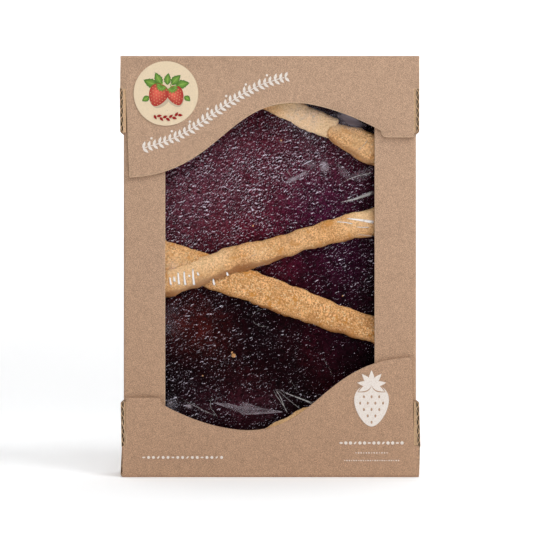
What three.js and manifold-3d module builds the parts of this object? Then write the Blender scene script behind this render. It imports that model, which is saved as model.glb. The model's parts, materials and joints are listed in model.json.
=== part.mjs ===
// Boxed strawberry tart: a shut corrugated carton, standing on its short end, with a wavy
// window in the front, and behind it a rectangular jam tart with pastry strips.
// Millimetres. +Z up, the window faces -Y, X runs to the right. The origin is under the
// middle of the pack, on the surface it stands on.

import * as THREE from 'three';
import { mergeVertices } from 'three/addons/utils/BufferGeometryUtils.js';
import Module from 'manifold-3d';

const wasm = await Module();
wasm.setup();

// Driving dimensions of the pack.

const HEIGHT = 298;          // standing height
const DEPTH = 38;            // front face of the flaps to the back face
const BODY_HALF = 103;       // half width over the two long side walls
const FOLD_HALF = 105.6;     // half width of the short end walls, over the ears
const BOARD = 2.5;           // thickness of the corrugated board
const GAP = 0.3;             // clearance between pieces and loose layers
const END_GAP = 1;           // clearance from the end of a wall or panel to the end wall
const FOLD_RADIUS = 1.6;     // outside radius of a folded edge
const FOLD_SEGMENTS = 4;     // faces round a folded edge
const BACK_INSET = 0.4;      // the back panel lies this far inside the end walls' edges

const FRONT = -DEPTH / 2;
const BACK = DEPTH / 2;

// The front flaps. Depths are measured from the fold, along the flap.

const SHOULDER_DEPTH = 23.3; // full width ends here, the ear's tab starts
const EAR_LENGTH = 56;       // fold to the free end of an ear
const NECK_HALF = 101.9;     // half width of a flap between the tabs
const TOP_FLAP = { tipHalf: 99.3, tipDepth: 86, peakX: 17.7, peakDepth: 33.2 };
const BOTTOM_FLAP = { tipHalf: 100.2, tipDepth: 85, peakX: 15.5, peakDepth: 33.2 };
const WINDOW_HALF = 73.8;    // half width of the window between the side panels

// The corrugation that shows on the cut edges of the ears.

const FLUTE_PITCH = 6.3;
const FLUTE_HOLE_HEIGHT = 1.25;
const FLUTE_HOLE_WIDTH = 4.9;
const FLUTE_HOLE_DEPTH = 2.2;
const LINER = 0.35;

// The tart.

const TART_HALF_WIDTH = 98;
const TART_BOTTOM = BOARD + GAP;
const TART_TOP = 292;
const RIM_WIDTH = 14;
const RIM_TOP_Y = -11;       // the rim's highest level, towards the window
const POCKET_Y = 7.2;        // the inside of the pastry base
const JAM_LEVEL = -5;        // the highest level of the jam
const JAM_DIP = 1.4;         // how far the jam's surface dips below that
const STRIP_UNDERSIDE = JAM_LEVEL - GAP;

// The round label.

const LABEL = { x: -73.4, z: 271.2, radius: 22.8, thickness: 0.3 };
const LABEL_GAP = 0.25;

// Materials.

const board = new THREE.MeshStandardMaterial({ color: 0xb79a80, roughness: 0.9, metalness: 0 });
const cream = new THREE.MeshStandardMaterial({ color: 0xe6d1b2, roughness: 0.8, metalness: 0 });
const pastry = new THREE.MeshStandardMaterial({ color: 0xcfa26a, roughness: 0.85, metalness: 0 });
const jamRed = new THREE.MeshStandardMaterial({ color: 0x4a1620, roughness: 0.25, metalness: 0 });

// Solids and meshes.

function solidOf(geometry) {
  const bare = geometry.clone();
  bare.deleteAttribute('normal');
  bare.deleteAttribute('uv');
  const merged = mergeVertices(bare, 1e-4);
  return new wasm.Manifold(new wasm.Mesh({
    numProp: 3,
    vertProperties: new Float32Array(merged.attributes.position.array),
    triVerts: new Uint32Array(merged.index.array),
  }));
}

function meshOf(name, solid, material) {
  const cut = solid.getMesh();
  const geometry = new THREE.BufferGeometry();
  geometry.setAttribute('position', new THREE.BufferAttribute(cut.vertProperties, 3));
  geometry.setIndex(new THREE.BufferAttribute(cut.triVerts, 1));
  geometry.computeVertexNormals();
  const mesh = new THREE.Mesh(geometry, material);
  mesh.name = name;
  return mesh;
}

function join(solids) {
  return solids.reduce((sum, next) => sum.add(next));
}

function block(x0, x1, y0, y1, z0, z1) {
  const geometry = new THREE.BoxGeometry(x1 - x0, y1 - y0, z1 - z0);
  geometry.translate((x0 + x1) / 2, (y0 + y1) / 2, (z0 + z1) / 2);
  return solidOf(geometry);
}

// An outline drawn in X and Z, given thickness from y0 to y1.
function plateXZ(shape, y0, y1, curveSegments = 24) {
  const geometry = new THREE.ExtrudeGeometry(shape, {
    depth: y1 - y0, bevelEnabled: false, steps: 1, curveSegments,
  });
  geometry.rotateX(Math.PI / 2);
  geometry.translate(0, y1, 0);
  return solidOf(geometry);
}

// An outline drawn in Y and Z, given thickness from x0 to x1.
function plateYZ(shape, x0, x1, curveSegments = FOLD_SEGMENTS) {
  const geometry = new THREE.ExtrudeGeometry(shape, {
    depth: x1 - x0, bevelEnabled: false, steps: 1, curveSegments,
  });
  geometry.rotateX(Math.PI / 2);
  geometry.rotateZ(Math.PI / 2);
  geometry.translate(x0, 0, 0);
  return solidOf(geometry);
}

// An outline drawn in X and Y, given height from z0 to z1.
function plateXY(shape, z0, z1, curveSegments = FOLD_SEGMENTS) {
  const geometry = new THREE.ExtrudeGeometry(shape, {
    depth: z1 - z0, bevelEnabled: false, steps: 1, curveSegments,
  });
  geometry.translate(0, 0, z0);
  return solidOf(geometry);
}

function roundedRectangle(u0, u1, v0, v1, radius) {
  const shape = new THREE.Shape();
  shape.moveTo(u0 + radius, v0);
  shape.lineTo(u1 - radius, v0);
  shape.absarc(u1 - radius, v0 + radius, radius, -Math.PI / 2, 0, false);
  shape.lineTo(u1, v1 - radius);
  shape.absarc(u1 - radius, v1 - radius, radius, 0, Math.PI / 2, false);
  shape.lineTo(u0 + radius, v1);
  shape.absarc(u0 + radius, v1 - radius, radius, Math.PI / 2, Math.PI, false);
  shape.lineTo(u0, v0 + radius);
  shape.absarc(u0 + radius, v0 + radius, radius, Math.PI, Math.PI * 1.5, false);
  return shape;
}

// A front flap's outline, as seen with its fold at depth 0 and the long tip on the left.
// From the tip the cut edge sweeps up in a long S to a rounded peak, falls to the right,
// and ends in a small round notch before a short straight piece.
function flapOutline(flap) {
  const notchX = 78.5;
  const notchDepth = 52.9;
  const flatX = 82.1;
  const flatDepth = 57.6;
  const beyondFold = -1;
  const shape = new THREE.Shape();
  shape.moveTo(-FOLD_HALF, beyondFold);
  shape.lineTo(-FOLD_HALF, SHOULDER_DEPTH);
  shape.lineTo(-NECK_HALF, SHOULDER_DEPTH);
  shape.lineTo(-NECK_HALF, EAR_LENGTH);
  shape.lineTo(-flap.tipHalf, flap.tipDepth);
  shape.bezierCurveTo(
    -flap.tipHalf + 62, flap.tipDepth - 2.5,
    flap.peakX - 49, flap.peakDepth,
    flap.peakX, flap.peakDepth);
  shape.bezierCurveTo(
    flap.peakX + 9, flap.peakDepth,
    notchX - 29, notchDepth - 16,
    notchX, notchDepth);
  shape.bezierCurveTo(notchX + 0.4, notchDepth + 3, notchX + 1.6, flatDepth, flatX, flatDepth);
  shape.lineTo(NECK_HALF, flatDepth);
  shape.lineTo(NECK_HALF, SHOULDER_DEPTH);
  shape.lineTo(FOLD_HALF, SHOULDER_DEPTH);
  shape.lineTo(FOLD_HALF, beyondFold);
  return shape;
}

// The same outline turned half round, so that it stands on the bottom edge.
function standingOutline(flap) {
  const points = flapOutline(flap).getPoints(18);
  return new THREE.Shape(points.map((point) => new THREE.Vector2(-point.x, point.y)));
}

// An ear: it folds down from an end wall over the outside of a side wall. Its tab reaches
// forward beside the flap, so the tab's cut edge shows from the front. Depth and length are
// measured from the fold; `splay` is how far the free end stands off.
const EARS = [
  { side: -1, atTop: true, splay: 0.7 },
  { side: 1, atTop: true, splay: 0.1 },
  { side: -1, atTop: false, splay: 0.2 },
  { side: 1, atTop: false, splay: 0.7 },
];
const EAR_INSIDE = BODY_HALF + 0.4;
const EAR_FRONT = FRONT + BOARD + 1.5;
const TAB_START = SHOULDER_DEPTH + GAP;
const TAB_END_SLANT = 2.2;
const FOLD_START = FOLD_RADIUS + 0.1;

function earOutline() {
  const shape = new THREE.Shape();
  shape.moveTo(EAR_FRONT, FOLD_START);
  shape.lineTo(EAR_FRONT, TAB_START);
  shape.lineTo(FRONT, TAB_START);
  shape.lineTo(FRONT, EAR_LENGTH - TAB_END_SLANT);
  shape.lineTo(FRONT + TAB_END_SLANT, EAR_LENGTH);
  shape.lineTo(BACK - 9, EAR_LENGTH);
  shape.lineTo(BACK - 1.5, EAR_LENGTH - 12);
  shape.lineTo(BACK - 1.5, FOLD_START);
  return shape;
}

// One hole between the wave and a liner: an arch standing on the liner.
function fluteHole(liner, middle, towards) {
  const shape = new THREE.Shape();
  const steps = 6;
  const half = FLUTE_HOLE_WIDTH / 2;
  shape.moveTo(liner, middle - half);
  for (let i = 1; i < steps; i += 1) {
    const along = i / steps;
    const rise = FLUTE_HOLE_HEIGHT * Math.sin(Math.PI * along) ** 1.3;
    shape.lineTo(liner + towards * rise, middle - half + 2 * half * along);
  }
  shape.lineTo(liner, middle + half);
  return plateXZ(shape, FRONT - 1, FRONT + FLUTE_HOLE_DEPTH);
}

function ear() {
  const outside = EAR_INSIDE + BOARD;
  let solid = plateYZ(earOutline(), EAR_INSIDE, outside);
  const first = TAB_START + 2.6;
  const waves = Math.floor((EAR_LENGTH - TAB_END_SLANT - first) / FLUTE_PITCH);
  for (let i = 0; i < waves; i += 1) {
    const middle = first + i * FLUTE_PITCH + FLUTE_HOLE_WIDTH / 2 - 1;
    const inner = fluteHole(EAR_INSIDE + LINER, middle, 1);
    const outer = fluteHole(outside - LINER, middle + FLUTE_PITCH / 2, -1);
    solid = solid.subtract(inner).subtract(outer);
  }
  return solid;
}

function placedEar(plain, { side, atTop, splay }) {
  const leaning = plain.warp((vertex) => {
    vertex[0] += splay * (vertex[2] / EAR_LENGTH);
  });
  return leaning
    .scale([side, 1, atTop ? -1 : 1])
    .translate([0, 0, atTop ? HEIGHT : 0]);
}

// The section of the main panels, seen from above: the back panel, the two side walls and the
// two side panels that leave the window open between them.
function bodySection() {
  const front = FRONT + BOARD + GAP;
  const back = BACK - BACK_INSET;
  const r = FOLD_RADIUS;
  const inner = BODY_HALF - BOARD;
  const shape = new THREE.Shape();
  shape.moveTo(-WINDOW_HALF, front);
  shape.lineTo(-WINDOW_HALF, front + BOARD);
  shape.lineTo(-inner, front + BOARD);
  shape.lineTo(-inner, back - BOARD);
  shape.lineTo(inner, back - BOARD);
  shape.lineTo(inner, front + BOARD);
  shape.lineTo(WINDOW_HALF, front + BOARD);
  shape.lineTo(WINDOW_HALF, front);
  shape.lineTo(BODY_HALF - r, front);
  shape.absarc(BODY_HALF - r, front + r, r, -Math.PI / 2, 0, false);
  shape.lineTo(BODY_HALF, back - r);
  shape.absarc(BODY_HALF - r, back - r, r, 0, Math.PI / 2, false);
  shape.lineTo(-BODY_HALF + r, back);
  shape.absarc(-BODY_HALF + r, back - r, r, Math.PI / 2, Math.PI, false);
  shape.lineTo(-BODY_HALF, front + r);
  shape.absarc(-BODY_HALF + r, front + r, r, Math.PI, Math.PI * 1.5, false);
  return shape;
}

// The main panels, with the walls and side panels ending just short of the end walls. The
// back panel runs on into them.
function body() {
  const beyond = 1;
  const wallEnd = BOARD + END_GAP;
  const cutBack = BACK - BACK_INSET - BOARD - 0.5;
  const cutHalf = BODY_HALF + beyond;
  return plateXY(bodySection(), FOLD_START, HEIGHT - FOLD_START)
    .subtract(block(-cutHalf, cutHalf, FRONT - beyond, cutBack, 0, wallEnd))
    .subtract(block(-cutHalf, cutHalf, FRONT - beyond, cutBack, HEIGHT - wallEnd, HEIGHT));
}

// The section of an end, seen from the side: the front flap, the fold and the end wall.
function endSection(reach) {
  const r = FOLD_RADIUS;
  const shape = new THREE.Shape();
  shape.moveTo(FRONT, reach);
  shape.lineTo(FRONT, r);
  shape.absarc(FRONT + r, r, r, Math.PI, Math.PI * 1.5, false);
  shape.lineTo(BACK - r, 0);
  shape.absarc(BACK - r, r, r, -Math.PI / 2, 0, false);
  shape.lineTo(BACK, BOARD);
  shape.lineTo(FRONT + BOARD, BOARD);
  shape.lineTo(FRONT + BOARD, reach);
  return shape;
}

// An end of the carton, its flap cut to the outline. It is made at the bottom.
function end(flap) {
  const reach = 100;
  const sheet = plateYZ(endSection(reach), -BODY_HALF - 6, BODY_HALF + 6);
  return sheet.intersect(plateXZ(standingOutline(flap), FRONT - 1, BACK + 1));
}

// The folded carton: one sheet of board, so one solid. The top end is the same form as the
// bottom one, turned half round about the line of sight.
function carton() {
  const plainEar = ear();
  const ears = EARS.map((place) => placedEar(plainEar, place));
  const top = end(TOP_FLAP).rotate([0, 180, 0]).translate([0, 0, HEIGHT]);
  return join([body(), end(BOTTOM_FLAP), top, ...ears]);
}

// The tart's pastry case: a base with a raised rim.
function pocketOutline(inset) {
  return roundedRectangle(
    -TART_HALF_WIDTH + RIM_WIDTH + inset, TART_HALF_WIDTH - RIM_WIDTH - inset,
    TART_BOTTOM + RIM_WIDTH + inset, TART_TOP - RIM_WIDTH - inset, 8 - inset);
}

function crust() {
  const low = BACK - BACK_INSET - BOARD - GAP;
  const chamfer = 3;
  const shape = roundedRectangle(-TART_HALF_WIDTH + chamfer, TART_HALF_WIDTH - chamfer,
    TART_BOTTOM + chamfer, TART_TOP - chamfer, 12);
  const geometry = new THREE.ExtrudeGeometry(shape, {
    depth: low - RIM_TOP_Y - 2 * chamfer, steps: 1, curveSegments: 8,
    bevelEnabled: true, bevelThickness: chamfer, bevelSize: chamfer, bevelSegments: 3,
  });
  geometry.rotateX(Math.PI / 2);
  geometry.translate(0, low - chamfer, 0);
  const pocket = plateXZ(pocketOutline(0), RIM_TOP_Y - 5, POCKET_Y, 8);
  return solidOf(geometry).subtract(pocket);
}

// The jam: it fills the case, and its surface dips gently.
function jamLevel(x, z) {
  const dip = 0.5 + 0.28 * Math.sin(x / 11 + z / 17) + 0.22 * Math.sin(x / 23 - z / 9 + 1.3);
  return JAM_LEVEL + JAM_DIP * dip;
}

function jam() {
  const columns = 16;
  const rows = 24;
  const half = TART_HALF_WIDTH;
  const bottomY = POCKET_Y - GAP;
  const sheet = new THREE.BoxGeometry(2 * half, 2, TART_TOP - TART_BOTTOM, columns, 1, rows);
  sheet.translate(0, 0, (TART_TOP + TART_BOTTOM) / 2);
  const position = sheet.attributes.position;
  for (let i = 0; i < position.count; i += 1) {
    const nearWindow = position.getY(i) < 0;
    position.setY(i, nearWindow ? jamLevel(position.getX(i), position.getZ(i)) : bottomY);
  }
  return solidOf(sheet).intersect(plateXZ(pocketOutline(GAP), -20, 20, 8));
}

// Pastry strips. Each runs through stations given as x, z and half of its upright width, and
// has a domed section with a slightly wavy edge. A strip that lies over another one is raised
// there.
const STRIPS = {
  strip_middle_falling: {
    stations: [[-92, 161.5, 12.4], [-73.4, 155.7, 12.4], [-44.1, 145.6, 12.3], [-7.3, 132.4, 11.9],
      [13.1, 125, 12.1], [39.3, 115.1, 11], [73.9, 103.5, 9.9], [92, 97.5, 9.9]],
    top: -9.8, seed: 3,
  },
  strip_middle_rising: {
    stations: [[-92, 132, 10.8], [-72, 138.1, 11], [-29, 152, 11], [13.1, 164.4, 8.4],
      [39.3, 172.7, 9], [73.9, 180.7, 10.1], [92, 185, 10]],
    top: -10.6, seed: 8, raisedAt: -38, raisedBy: 1.7, raisedLength: 62,
  },
  strip_top_left: {
    stations: [[-36, 283.5, 9.2], [0, 268, 9.2], [22, 256.8, 9.3], [38, 250.4, 8.8], [47, 247.6, 8]],
    top: -9.2, seed: 5,
  },
  strip_top_right: {
    stations: [[41, 245.5, 4.2], [43.5, 244.6, 6.4], [50, 242.6, 8.4], [60, 238.4, 11], [73.9, 232.4, 12],
      [92, 225, 12]],
    top: -10.8, seed: 11,
  },
  strip_bottom: {
    stations: [[-52, 0, 10.6], [-3.4, 23.9, 10.6], [12.5, 31.1, 10.6], [23.3, 37.3, 10.6],
      [60, 55.5, 10.6], [92, 71, 10.6]],
    top: -9.6, seed: 14,
  },
};
const STRIP_STEP = 5.5;
const EDGE_WAVE = 0.55;

// The section across a strip, from one lower edge over the dome to the other: how far out,
// as a part of the half width, and how high, as a part of the thickness.
const SECTION = [[-0.94, 0], [-1, 0.3], [-0.93, 0.66], [-0.72, 0.9], [-0.35, 1], [0.35, 1],
  [0.72, 0.9], [0.93, 0.66], [1, 0.3], [0.94, 0]];

function stripSolid(strip, grow) {
  const path = new THREE.CatmullRomCurve3(
    strip.stations.map(([x, z, half]) => new THREE.Vector3(x, z, half)), false, 'centripetal');
  const steps = Math.round(path.getLength() / STRIP_STEP);
  const across = SECTION.length;
  const vertices = [];
  for (let i = 0; i <= steps; i += 1) {
    const middle = path.getPointAt(i / steps);
    const ahead = path.getTangentAt(i / steps);
    const slope = Math.hypot(ahead.x, ahead.y);
    const side = { x: -ahead.y / slope, z: ahead.x / slope };
    const half = middle.z * side.z;
    const raised = strip.raisedBy
      ? strip.raisedBy * Math.exp(-(((middle.x - strip.raisedAt) / (strip.raisedLength / 2)) ** 2))
      : 0;
    const top = strip.top - raised - grow;
    for (let j = 0; j < across; j += 1) {
      const [out, up] = SECTION[j];
      const edgePhase = strip.seed + (out > 0 ? 2 : 5);
      const wave = EDGE_WAVE * (Math.sin(i * 1.9 + edgePhase) + 0.6 * Math.sin(i * 0.83 - edgePhase));
      const reach = out * (half + grow + wave);
      vertices.push(
        middle.x + side.x * reach,
        STRIP_UNDERSIDE + grow + (top - STRIP_UNDERSIDE - grow) * up,
        middle.y + side.z * reach);
    }
  }
  const faces = [];
  for (let i = 0; i < steps; i += 1) {
    for (let j = 0; j < across; j += 1) {
      const k = (j + 1) % across;
      const a = i * across + j;
      const b = i * across + k;
      const c = a + across;
      const d = b + across;
      faces.push(a, c, b, b, c, d);
    }
  }
  const last = steps * across;
  for (let j = 1; j < across - 1; j += 1) {
    faces.push(0, j, j + 1);
    faces.push(last, last + j + 1, last + j);
  }
  const geometry = new THREE.BufferGeometry();
  geometry.setAttribute('position', new THREE.Float32BufferAttribute(vertices, 3));
  geometry.setIndex(faces);
  return solidOf(geometry).intersect(plateXZ(pocketOutline(GAP), -20, 20, 8));
}

function strips() {
  const solids = {};
  for (const [name, strip] of Object.entries(STRIPS)) {
    solids[name] = stripSolid(strip, 0);
  }
  const under = { strip_middle_rising: 'strip_middle_falling', strip_top_right: 'strip_top_left' };
  for (const [over, below] of Object.entries(under)) {
    solids[over] = solids[over].subtract(stripSolid(STRIPS[below], GAP));
  }
  return solids;
}

// The label: a thin round of paper on the top flap.
function label() {
  const geometry = new THREE.CylinderGeometry(LABEL.radius, LABEL.radius, LABEL.thickness, 48);
  geometry.translate(LABEL.x, FRONT - LABEL_GAP - LABEL.thickness / 2, LABEL.z);
  return solidOf(geometry);
}

// The pack.

// The label stands forward of the flaps, so the whole is set back by half of that to keep the
// origin under the middle.
const pack = new THREE.Group();
pack.position.y = (LABEL.thickness + LABEL_GAP) / 2;
pack.add(meshOf('carton', carton(), board));
pack.add(meshOf('label', label(), cream));
pack.add(meshOf('crust', crust(), pastry));
pack.add(meshOf('jam', jam(), jamRed));
for (const [name, solid] of Object.entries(strips())) {
  pack.add(meshOf(name, solid, pastry));
}

export default pack;
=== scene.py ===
"""The looks of a boxed strawberry tart: a corrugated carton with a wavy window, the film-wrapped
jam tart behind it, a round label and plain printed ornaments. Everything is in metres, in the
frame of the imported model: +Z up, the window faces -Y, X runs to the right."""

import json
import math
import random

import bmesh
import bpy
import numpy as np
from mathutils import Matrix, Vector, geometry, noise
from mathutils.bvhtree import BVHTree

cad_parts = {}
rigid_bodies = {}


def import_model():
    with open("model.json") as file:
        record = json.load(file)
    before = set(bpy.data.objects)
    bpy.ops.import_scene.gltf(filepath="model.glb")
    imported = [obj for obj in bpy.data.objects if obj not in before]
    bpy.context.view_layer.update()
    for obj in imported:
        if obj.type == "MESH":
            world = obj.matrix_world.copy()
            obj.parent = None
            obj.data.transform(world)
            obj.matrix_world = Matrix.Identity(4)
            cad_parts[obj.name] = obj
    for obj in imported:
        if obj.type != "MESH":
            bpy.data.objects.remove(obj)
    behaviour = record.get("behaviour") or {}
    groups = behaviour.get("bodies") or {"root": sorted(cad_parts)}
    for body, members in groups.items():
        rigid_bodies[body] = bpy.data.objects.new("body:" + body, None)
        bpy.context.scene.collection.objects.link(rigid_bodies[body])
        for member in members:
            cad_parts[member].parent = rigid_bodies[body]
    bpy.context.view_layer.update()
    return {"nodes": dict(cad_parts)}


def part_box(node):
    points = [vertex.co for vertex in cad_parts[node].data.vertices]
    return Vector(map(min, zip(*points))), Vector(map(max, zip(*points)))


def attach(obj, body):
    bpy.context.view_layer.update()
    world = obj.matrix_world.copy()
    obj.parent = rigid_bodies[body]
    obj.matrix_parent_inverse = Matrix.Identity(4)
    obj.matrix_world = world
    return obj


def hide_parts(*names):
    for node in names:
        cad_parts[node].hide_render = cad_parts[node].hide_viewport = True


bl_info = {
    "name": "Boxed strawberry tart",
    "version": (1, 0, 0),
    "blender": (4, 5, 0),
    "location": "View3D > Sidebar > Tart",
    "description": "Builds a corrugated window carton with a wrapped jam tart in it",
    "category": "Object",
}

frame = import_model()

MM = 0.001
CARTON_LOW, CARTON_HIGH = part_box("carton")
HEIGHT = CARTON_HIGH.z
FRONT = CARTON_LOW.y
BACK = CARTON_HIGH.y
STRIP_NODES = sorted(name for name in frame["nodes"] if name.startswith("strip_"))
SEED = 7


def srgb(red, green, blue):
    """A colour given in steps of 0 to 255, as Blender's linear values."""
    def linear(step):
        value = step / 255
        return value / 12.92 if value <= 0.04045 else ((value + 0.055) / 1.055) ** 2.4
    return (linear(red), linear(green), linear(blue), 1.0)


def times(colour, factor):
    """A colour made lighter or darker."""
    return (colour[0] * factor, colour[1] * factor, colour[2] * factor, 1.0)


# What a user would change.


def length(name, description, millimetres):
    """A size in metres, with its default given in millimetres."""
    return bpy.props.FloatProperty(
        name=name, description=description, default=millimetres * MM, precision=5,
        unit="LENGTH", subtype="DISTANCE")


def paint(name, description, colour):
    """A colour property."""
    return bpy.props.FloatVectorProperty(
        name=name, description=description, default=colour, size=4, min=0, max=1,
        subtype="COLOR")


class TartSizes(bpy.types.PropertyGroup):
    """Sizes of the carton and its contents."""

    board: length("Board", "Thickness of the corrugated board", 2.5)
    liner: length("Liner", "Thickness of one sheet of the board", 0.35)
    flute_pitch: length("Wave pitch", "Length of one wave of the board's core", 6.3)
    body_half: length("Body half width", "Half the width over the side walls", 103.6)
    neck_half: length("Neck half width", "Half the width of a flap between the ears", 101.9)
    window_half: length("Window half width", "Half the width of the window", 74.2)
    fold_radius: length("Fold radius", "Outside radius of a folded edge", 1.9)
    pastry_grain: length("Pastry grain", "Voxel size of the pastry's surface", 0.8)
    jam_grid: length("Jam grid", "Spacing of the points of the jam's surface", 0.8)
    film_grid: length("Film grid", "Spacing of the points of the film", 1.0)


class TartColours(bpy.types.PropertyGroup):
    """Colours of the carton and its contents."""

    kraft: paint("Board", "Face of the board", srgb(186, 154, 129))
    # Painted shade: the board turns darker and warmer towards its lower end, as light from above
    # would leave it.
    kraft_shaded_low: paint("Board, low", "Face of the board near its lower end", srgb(182, 147, 120))
    # The pale cut edge is partly the cut fibre's own colour and partly a painted highlight along
    # the top flap's lower edge.
    cut: paint("Cut edge", "Cut edge of the board's sheets", srgb(214, 184, 154))
    core: paint("Core", "The board's wavy core", srgb(206, 172, 136))
    cream: paint("Label", "Paper of the round label", srgb(230, 209, 178))
    ink: paint("White ink", "Printed ornaments", srgb(238, 229, 221))
    berry: paint("Berry", "Printed berries and garland", srgb(196, 40, 38))
    leaf: paint("Leaf", "Printed leaves", srgb(70, 128, 40))
    pastry: paint("Pastry", "Baked strips", srgb(255, 199, 137))
    # The pale pastry colour is also painted light: it lifts the top strips out of the top flap's
    # shadow and lightens the strips' upper sides.
    flour: paint("Pastry, pale", "Floury, hardly baked places", srgb(255, 218, 170))
    pastry_dark: paint("Pastry, dark", "Darker grains of the strips", srgb(172, 112, 54))
    # This brown also serves as painted shade on the strips' down-turned sides.
    browned_and_shaded: paint("Browned pastry", "Browned edges of the strips", srgb(140, 80, 28))
    jam: paint("Jam", "Dark of the jam", srgb(13, 2, 5))
    jam_red: paint("Jam, red", "Where the jam is thin or well lit", srgb(88, 20, 34))
    jam_rust: paint("Jam, rusty", "Hue of the jam low on the left", srgb(84, 28, 24))
    jam_violet: paint("Jam, violet", "Hue of the jam at the right", srgb(66, 16, 48))
    jam_plum: paint("Jam, plum", "Where the jam is cloudy", srgb(98, 52, 66))
    glint: paint("Glint", "Pale glints of the wet jam and film", srgb(230, 222, 238))


def sizes():
    return bpy.context.scene.tart_sizes


def colours():
    return bpy.context.scene.tart_colours


# Shader nodes.


def set_inputs(tree, node, inputs):
    """Each input gets a number or a colour, or another node's output to link."""
    for key, value in inputs.items():
        if isinstance(value, bpy.types.NodeSocket):
            tree.links.new(value, node.inputs[key])
        else:
            node.inputs[key].default_value = value


def add_node(tree, kind, inputs=None, **settings):
    """A shader node with its inputs and settings."""
    made = tree.nodes.new(kind)
    for key, value in settings.items():
        setattr(made, key, value)
    set_inputs(tree, made, inputs or {})
    return made


def calculate(tree, operation, first, second=0.0, third=0.0, clamp=False):
    made = add_node(tree, "ShaderNodeMath", {0: first, 1: second, 2: third},
                    operation=operation, use_clamp=clamp)
    return made.outputs[0]


def ramp(tree, value, low, high):
    """0 at low and 1 at high, with a smooth step between them."""
    made = add_node(tree, "ShaderNodeMapRange", {0: value, 1: low, 2: high},
                    interpolation_type="SMOOTHSTEP")
    return made.outputs[0]


def blend(tree, factor, first, second, kind="MIX"):
    """One colour mixed with another."""
    made = add_node(tree, "ShaderNodeMix", {0: factor, 6: first, 7: second},
                    data_type="RGBA", blend_type=kind)
    return made.outputs[2]


def mottled(tree, tone, base, dark, light):
    """A colour between a darker and a lighter share of itself."""
    low = blend(tree, 1.0, base, (*dark, 1), "MULTIPLY")
    high = blend(tree, 1.0, base, (*light, 1), "MULTIPLY")
    return blend(tree, tone, low, high)


def noise_value(tree, vector, scale, detail=2.0, roughness=0.5, distortion=0.0):
    made = add_node(tree, "ShaderNodeTexNoise", {
        "Vector": vector, "Scale": scale, "Detail": detail, "Roughness": roughness,
        "Distortion": distortion})
    return made.outputs[0]


def place(tree):
    """The point's place on the piece, in metres."""
    return add_node(tree, "ShaderNodeTexCoord").outputs["Object"]


def painted(tree, name):
    """A value that the mesh carries at its points."""
    return add_node(tree, "ShaderNodeAttribute", attribute_name=name).outputs["Fac"]


def uneven(tree, name, value, low, high, gain, least):
    """A value that the mesh carries, made uneven by noise between low and high: at least that
    share of it, and up to the gain more."""
    share = calculate(tree, "MULTIPLY_ADD", ramp(tree, value, low, high), gain, least)
    return calculate(tree, "MULTIPLY", painted(tree, name), share, clamp=True)


def bump(tree, height, distance, strength=1.0):
    made = add_node(tree, "ShaderNodeBump", {
        "Height": height, "Distance": distance, "Strength": strength})
    return made.outputs["Normal"]


def new_group(name, inputs, outputs):
    """A node group with number inputs, each with its default, and number outputs."""
    tree = bpy.data.node_groups.new(name, "ShaderNodeTree")
    for label, default in inputs.items():
        socket = tree.interface.new_socket(label, in_out="INPUT", socket_type="NodeSocketFloat")
        socket.default_value = default
    for label in outputs:
        tree.interface.new_socket(label, in_out="OUTPUT", socket_type="NodeSocketFloat")
    enter = add_node(tree, "NodeGroupInput")
    leave = add_node(tree, "NodeGroupOutput")
    return tree, enter, leave


def use_group(tree, group, **values):
    made = add_node(tree, "ShaderNodeGroup", node_tree=group)
    for label, value in values.items():
        made.inputs[label].default_value = value
    return made


def paper_fibre():
    """Mottled paper: cloudy tone, sparse dark specks and fine relief."""
    name = "Paper fibre"
    if name in bpy.data.node_groups:
        return bpy.data.node_groups[name]
    tree, enter, leave = new_group(
        name, {"Grain": 900.0, "Cloud": 60.0, "Specks": 0.5}, ("Tone", "Speck", "Height"))
    where = add_node(tree, "ShaderNodeMapping", {
        "Vector": place(tree), "Rotation": (0.5, 0.35, 0.8)}).outputs[0]
    fine = noise_value(tree, where, enter.outputs["Grain"], 3.0, 0.65)
    cloud = noise_value(tree, where, enter.outputs["Cloud"], 4.0, 0.6)
    tone = calculate(tree, "MULTIPLY_ADD", fine, 0.92, calculate(tree, "MULTIPLY", cloud, 0.08))
    coarse = calculate(tree, "MULTIPLY", enter.outputs["Grain"], 0.42)
    spots = add_node(tree, "ShaderNodeTexVoronoi", {"Vector": where, "Scale": coarse})
    chance = calculate(tree, "GREATER_THAN", calculate(tree, "ADD", spots.outputs["Color"],
                       calculate(tree, "MULTIPLY", enter.outputs["Specks"], 0.1)), 0.93)
    near = ramp(tree, spots.outputs["Distance"], 0.22, 0.1)
    tree.links.new(ramp(tree, tone, 0.36, 0.64), leave.inputs["Tone"])
    tree.links.new(calculate(tree, "MULTIPLY", chance, near), leave.inputs["Speck"])
    tree.links.new(fine, leave.inputs["Height"])
    return tree


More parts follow.
